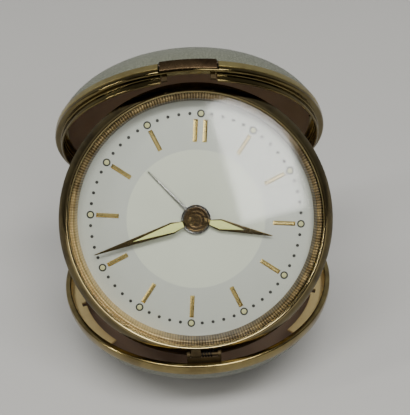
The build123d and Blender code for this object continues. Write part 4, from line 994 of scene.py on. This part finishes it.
def lance_hand(name, length, angle, level, hub_radius, bore):
    """A skeleton hand, its boss and the paste in its window."""
    tip = [(length - hand_tip_length, hand_tip), (length, hand_tip * 0.4)]
    start = hub_radius + window_margin
    end = length * window_share
    belly, belly_half = hand_belly
    window = [(start, window_start_half), (belly, belly_half - hand_frame), (end, window_end_half)]
    top = level + hand_wall
    lance = plate([mirrored([hand_neck, hand_belly] + tip), mirrored(window)], level, top)
    neck = plate([mirrored([hand_root, hand_neck])], level, top)
    boss = hub(hub_radius, level, level + hand_wall * 1.5, bore)
    filled = [(along + paste_gap, half - paste_gap) for along, half in window[:2]]
    filled.append((end - paste_gap * 4, window_end_half / 2))
    paste = plate([mirrored(filled)], level + paste_lift, level + hand_wall * 0.85, paste_gap)
    place = pointing(angle)
    piece(name + "_lance", place, [lance, neck], hand_gilt, name, [name + "_hand"])
    piece(name + "_boss", place, [boss], hub_gilt, name)
    piece(name + "_paste", place, [paste], hand_lume, name, [name + "_hand_lume"])


lance_hand("hour", length=0.0208, angle=99.5, level=-0.00195, hub_radius=0.0033, bore=0.00110)
lance_hand("minute", length=0.0285, angle=248.3, level=-0.00130, hub_radius=0.0023, bore=0.00065)

grey_steel = steel("grey_steel", (0.50, 0.50, 0.49, 1), (0.22, 0.22, 0.21, 1), roughness=0.20)
alarm_length = 0.0180
alarm_level = -0.00255
alarm_hub = 0.0040
alarm_bore = 0.00143
needle_start = 0.0036
needle_half = 0.00052
needle_tip_half = 0.00019
needle_rise = 0.00022
corners = []
for along, half in ((needle_start, needle_half), (alarm_length, needle_tip_half)):
    corners += [(-half, along, alarm_level), (half, along, alarm_level)]
    corners += [(0, along, alarm_level + needle_rise)]
needle = bpy.data.meshes.new("needle")
needle.from_pydata(corners, [], [(0, 1, 4, 3), (1, 2, 5, 4), (2, 0, 3, 5), (2, 1, 0), (3, 4, 5)])
alarm_place = pointing(312.5)
alarm_boss = hub(alarm_hub, alarm_level, alarm_level + hand_wall, alarm_bore)
piece("alarm_pointer", alarm_place, [needle], grey_steel, "alarm", ["alarm_hand"], crease=10)
piece("alarm_boss", alarm_place, [alarm_boss], grey_steel, "alarm")
finished(hub_gilt, "centre_arbor")

# The movement, shut in behind the dial: brass plates, wheels and barrels on steel arbors.
# Its keys and knobs stand out of the back.
movement_brass = brass(
    "movement_brass", (0.74, 0.56, 0.26, 1), (0.50, 0.36, 0.15, 1), roughness=0.28, tarnish=0.35
)
key_brass = brass(
    "key_brass", (0.70, 0.52, 0.23, 1), (0.36, 0.24, 0.10, 1), roughness=0.26, tarnish=0.6, scratch=0.8
)
finished(movement_brass, "front_plate", "back_plate", "movement_ring", "hour_wheel", "minute_wheel",
         "alarm_wheel", "alarm_setter", "main_barrel", "alarm_barrel", "centre_wheel", "third_wheel",
         "fourth_wheel", "escape_wheel", "balance_wheel", "alarm_escape_wheel")
finished(key_brass, "main_key", "alarm_key", "time_knob", "alarm_knob")

# The drum: a spun brass case with a coned back, closed by a flat cover.
# Both are satin, with the rings of the tool that turned them.
drum_brass = brass(
    "drum_brass", (0.64, 0.47, 0.20, 1), (0.34, 0.23, 0.09, 1), roughness=0.32, tarnish=0.6, brushed=0.8
)
drum_top = 0.0002
drum_inside = 0.0322
drum_outside = 0.0328
drum_shoulder = -0.0068
drum_back = -0.0112
drum_wall = 0.0006
drum_round = 0.0003
cone_outside = 0.0268
cone_inside = 0.0262
back_opening = 0.0250
shelf_inside = 0.0310
shelf_top = -0.0059
drum_outline = [
    (drum_inside, drum_top), (drum_outside, drum_top), (drum_outside, drum_shoulder),
    (cone_outside, drum_back), (back_opening, drum_back), (back_opening, drum_back + drum_wall),
    (cone_inside, drum_back + drum_wall), (shelf_inside, drum_shoulder), (shelf_inside, shelf_top),
    (drum_inside, shelf_top),
]
drum_mesh = turned(softened(drum_outline, drum_round), steps=ring_steps)
piece("drum_shell", head_place, [drum_mesh], drum_brass, "head", ["case_drum"])
finished(drum_brass, "back_cover")

# The setting: a plain pale table, a broad soft light overhead, a window to the right, a narrow strip light
# at the left, and the camera where the photograph was taken.
half_table = 0.8
table_light = (0.404, 0.400, 0.382, 1)
table_dark = (0.364, 0.360, 0.343, 1)
table_cloud_size = 0.18
pale_table, where = new_finish("pale_table", roughness=0.55)
noise(where, table_cloud_size, 4.0, 0.6).mixed(table_dark, table_light).into("Base Color")
table_mesh = bpy.data.meshes.new("table")
table_corners = [(x * half_table, y * half_table, 0) for x, y in ((-1, -1), (1, -1), (1, 1), (-1, 1))]
table_mesh.from_pydata(table_corners, [], [(0, 1, 2, 3)])
table_mesh.materials.append(pale_table)
table = bpy.data.objects.new("table", table_mesh)
bpy.context.scene.collection.objects.link(table)

world = bpy.data.worlds.new("room")
bpy.context.scene.world = world
world.use_nodes = True
sky = Field(world.node_tree)
facing = sky.node("TexCoord", output=0)
backward = sky.node("SeparateXYZ", None, {"Vector": facing}, output=1)
room_light = backward.eased(-0.3, 0.6).mixed((0.045, 0.042, 0.038, 1), (0.46, 0.47, 0.48, 1))
world.node_tree.links.new(room_light.socket, world.node_tree.nodes["Background"].inputs["Color"])
world.node_tree.nodes["Background"].inputs["Strength"].default_value = 1.0


def soft_light(name, at, towards, width, height, power, colour):
    """A soft rectangle of light at a point, facing another."""
    lamp = bpy.data.lights.new(name, "AREA")
    lamp.shape = "RECTANGLE"
    lamp.size = width
    lamp.size_y = height
    lamp.energy = power
    lamp.color = colour
    made = bpy.data.objects.new(name, lamp)
    bpy.context.scene.collection.objects.link(made)
    made.location = at
    made.rotation_euler = (Vector(towards) - Vector(at)).to_track_quat("-Z", "Y").to_euler()


soft_light("window", at=(0.42, -1.05, 0.95), towards=(0, 0, 0.04), width=0.42, height=0.78, power=8.0,
           colour=(1.0, 0.99, 0.97))
soft_light("side_strip", at=(-0.95, -0.30, 0.50), towards=(0, 0, 0.04), width=0.05, height=0.50, power=3.6,
           colour=(1.0, 0.98, 0.93))
soft_light("ceiling", at=(0.02, -0.50, 1.25), towards=(0, 0, 0.03), width=1.5, height=0.34, power=25.5,
           colour=(1.0, 0.99, 0.98))

photo_height_px = 415
focal_px = 962.29
view_height = math.radians(35.9)
view_yaw = math.radians(-1.95)
view_roll = math.radians(-2.12)
view_reach = 0.26915
view_target = Vector((0.00291, 0, 0.0438))
back_way = Vector((
    math.sin(view_yaw) * math.cos(view_height),
    -math.cos(view_yaw) * math.cos(view_height),
    math.sin(view_height),
))
level_right = Vector((math.cos(view_yaw), math.sin(view_yaw), 0))
level_up = back_way.cross(level_right)
view_right = level_right * math.cos(view_roll) + level_up * math.sin(view_roll)
camera_data = bpy.data.cameras.new("camera")
camera_data.sensor_width = 36
camera_data.lens = focal_px * camera_data.sensor_width / photo_height_px
camera_data.clip_start = 0.01
camera = bpy.data.objects.new("camera", camera_data)
bpy.context.scene.collection.objects.link(camera)
camera.matrix_world = place_at(view_target + back_way * view_reach, view_right, back_way)
bpy.context.scene.camera = camera
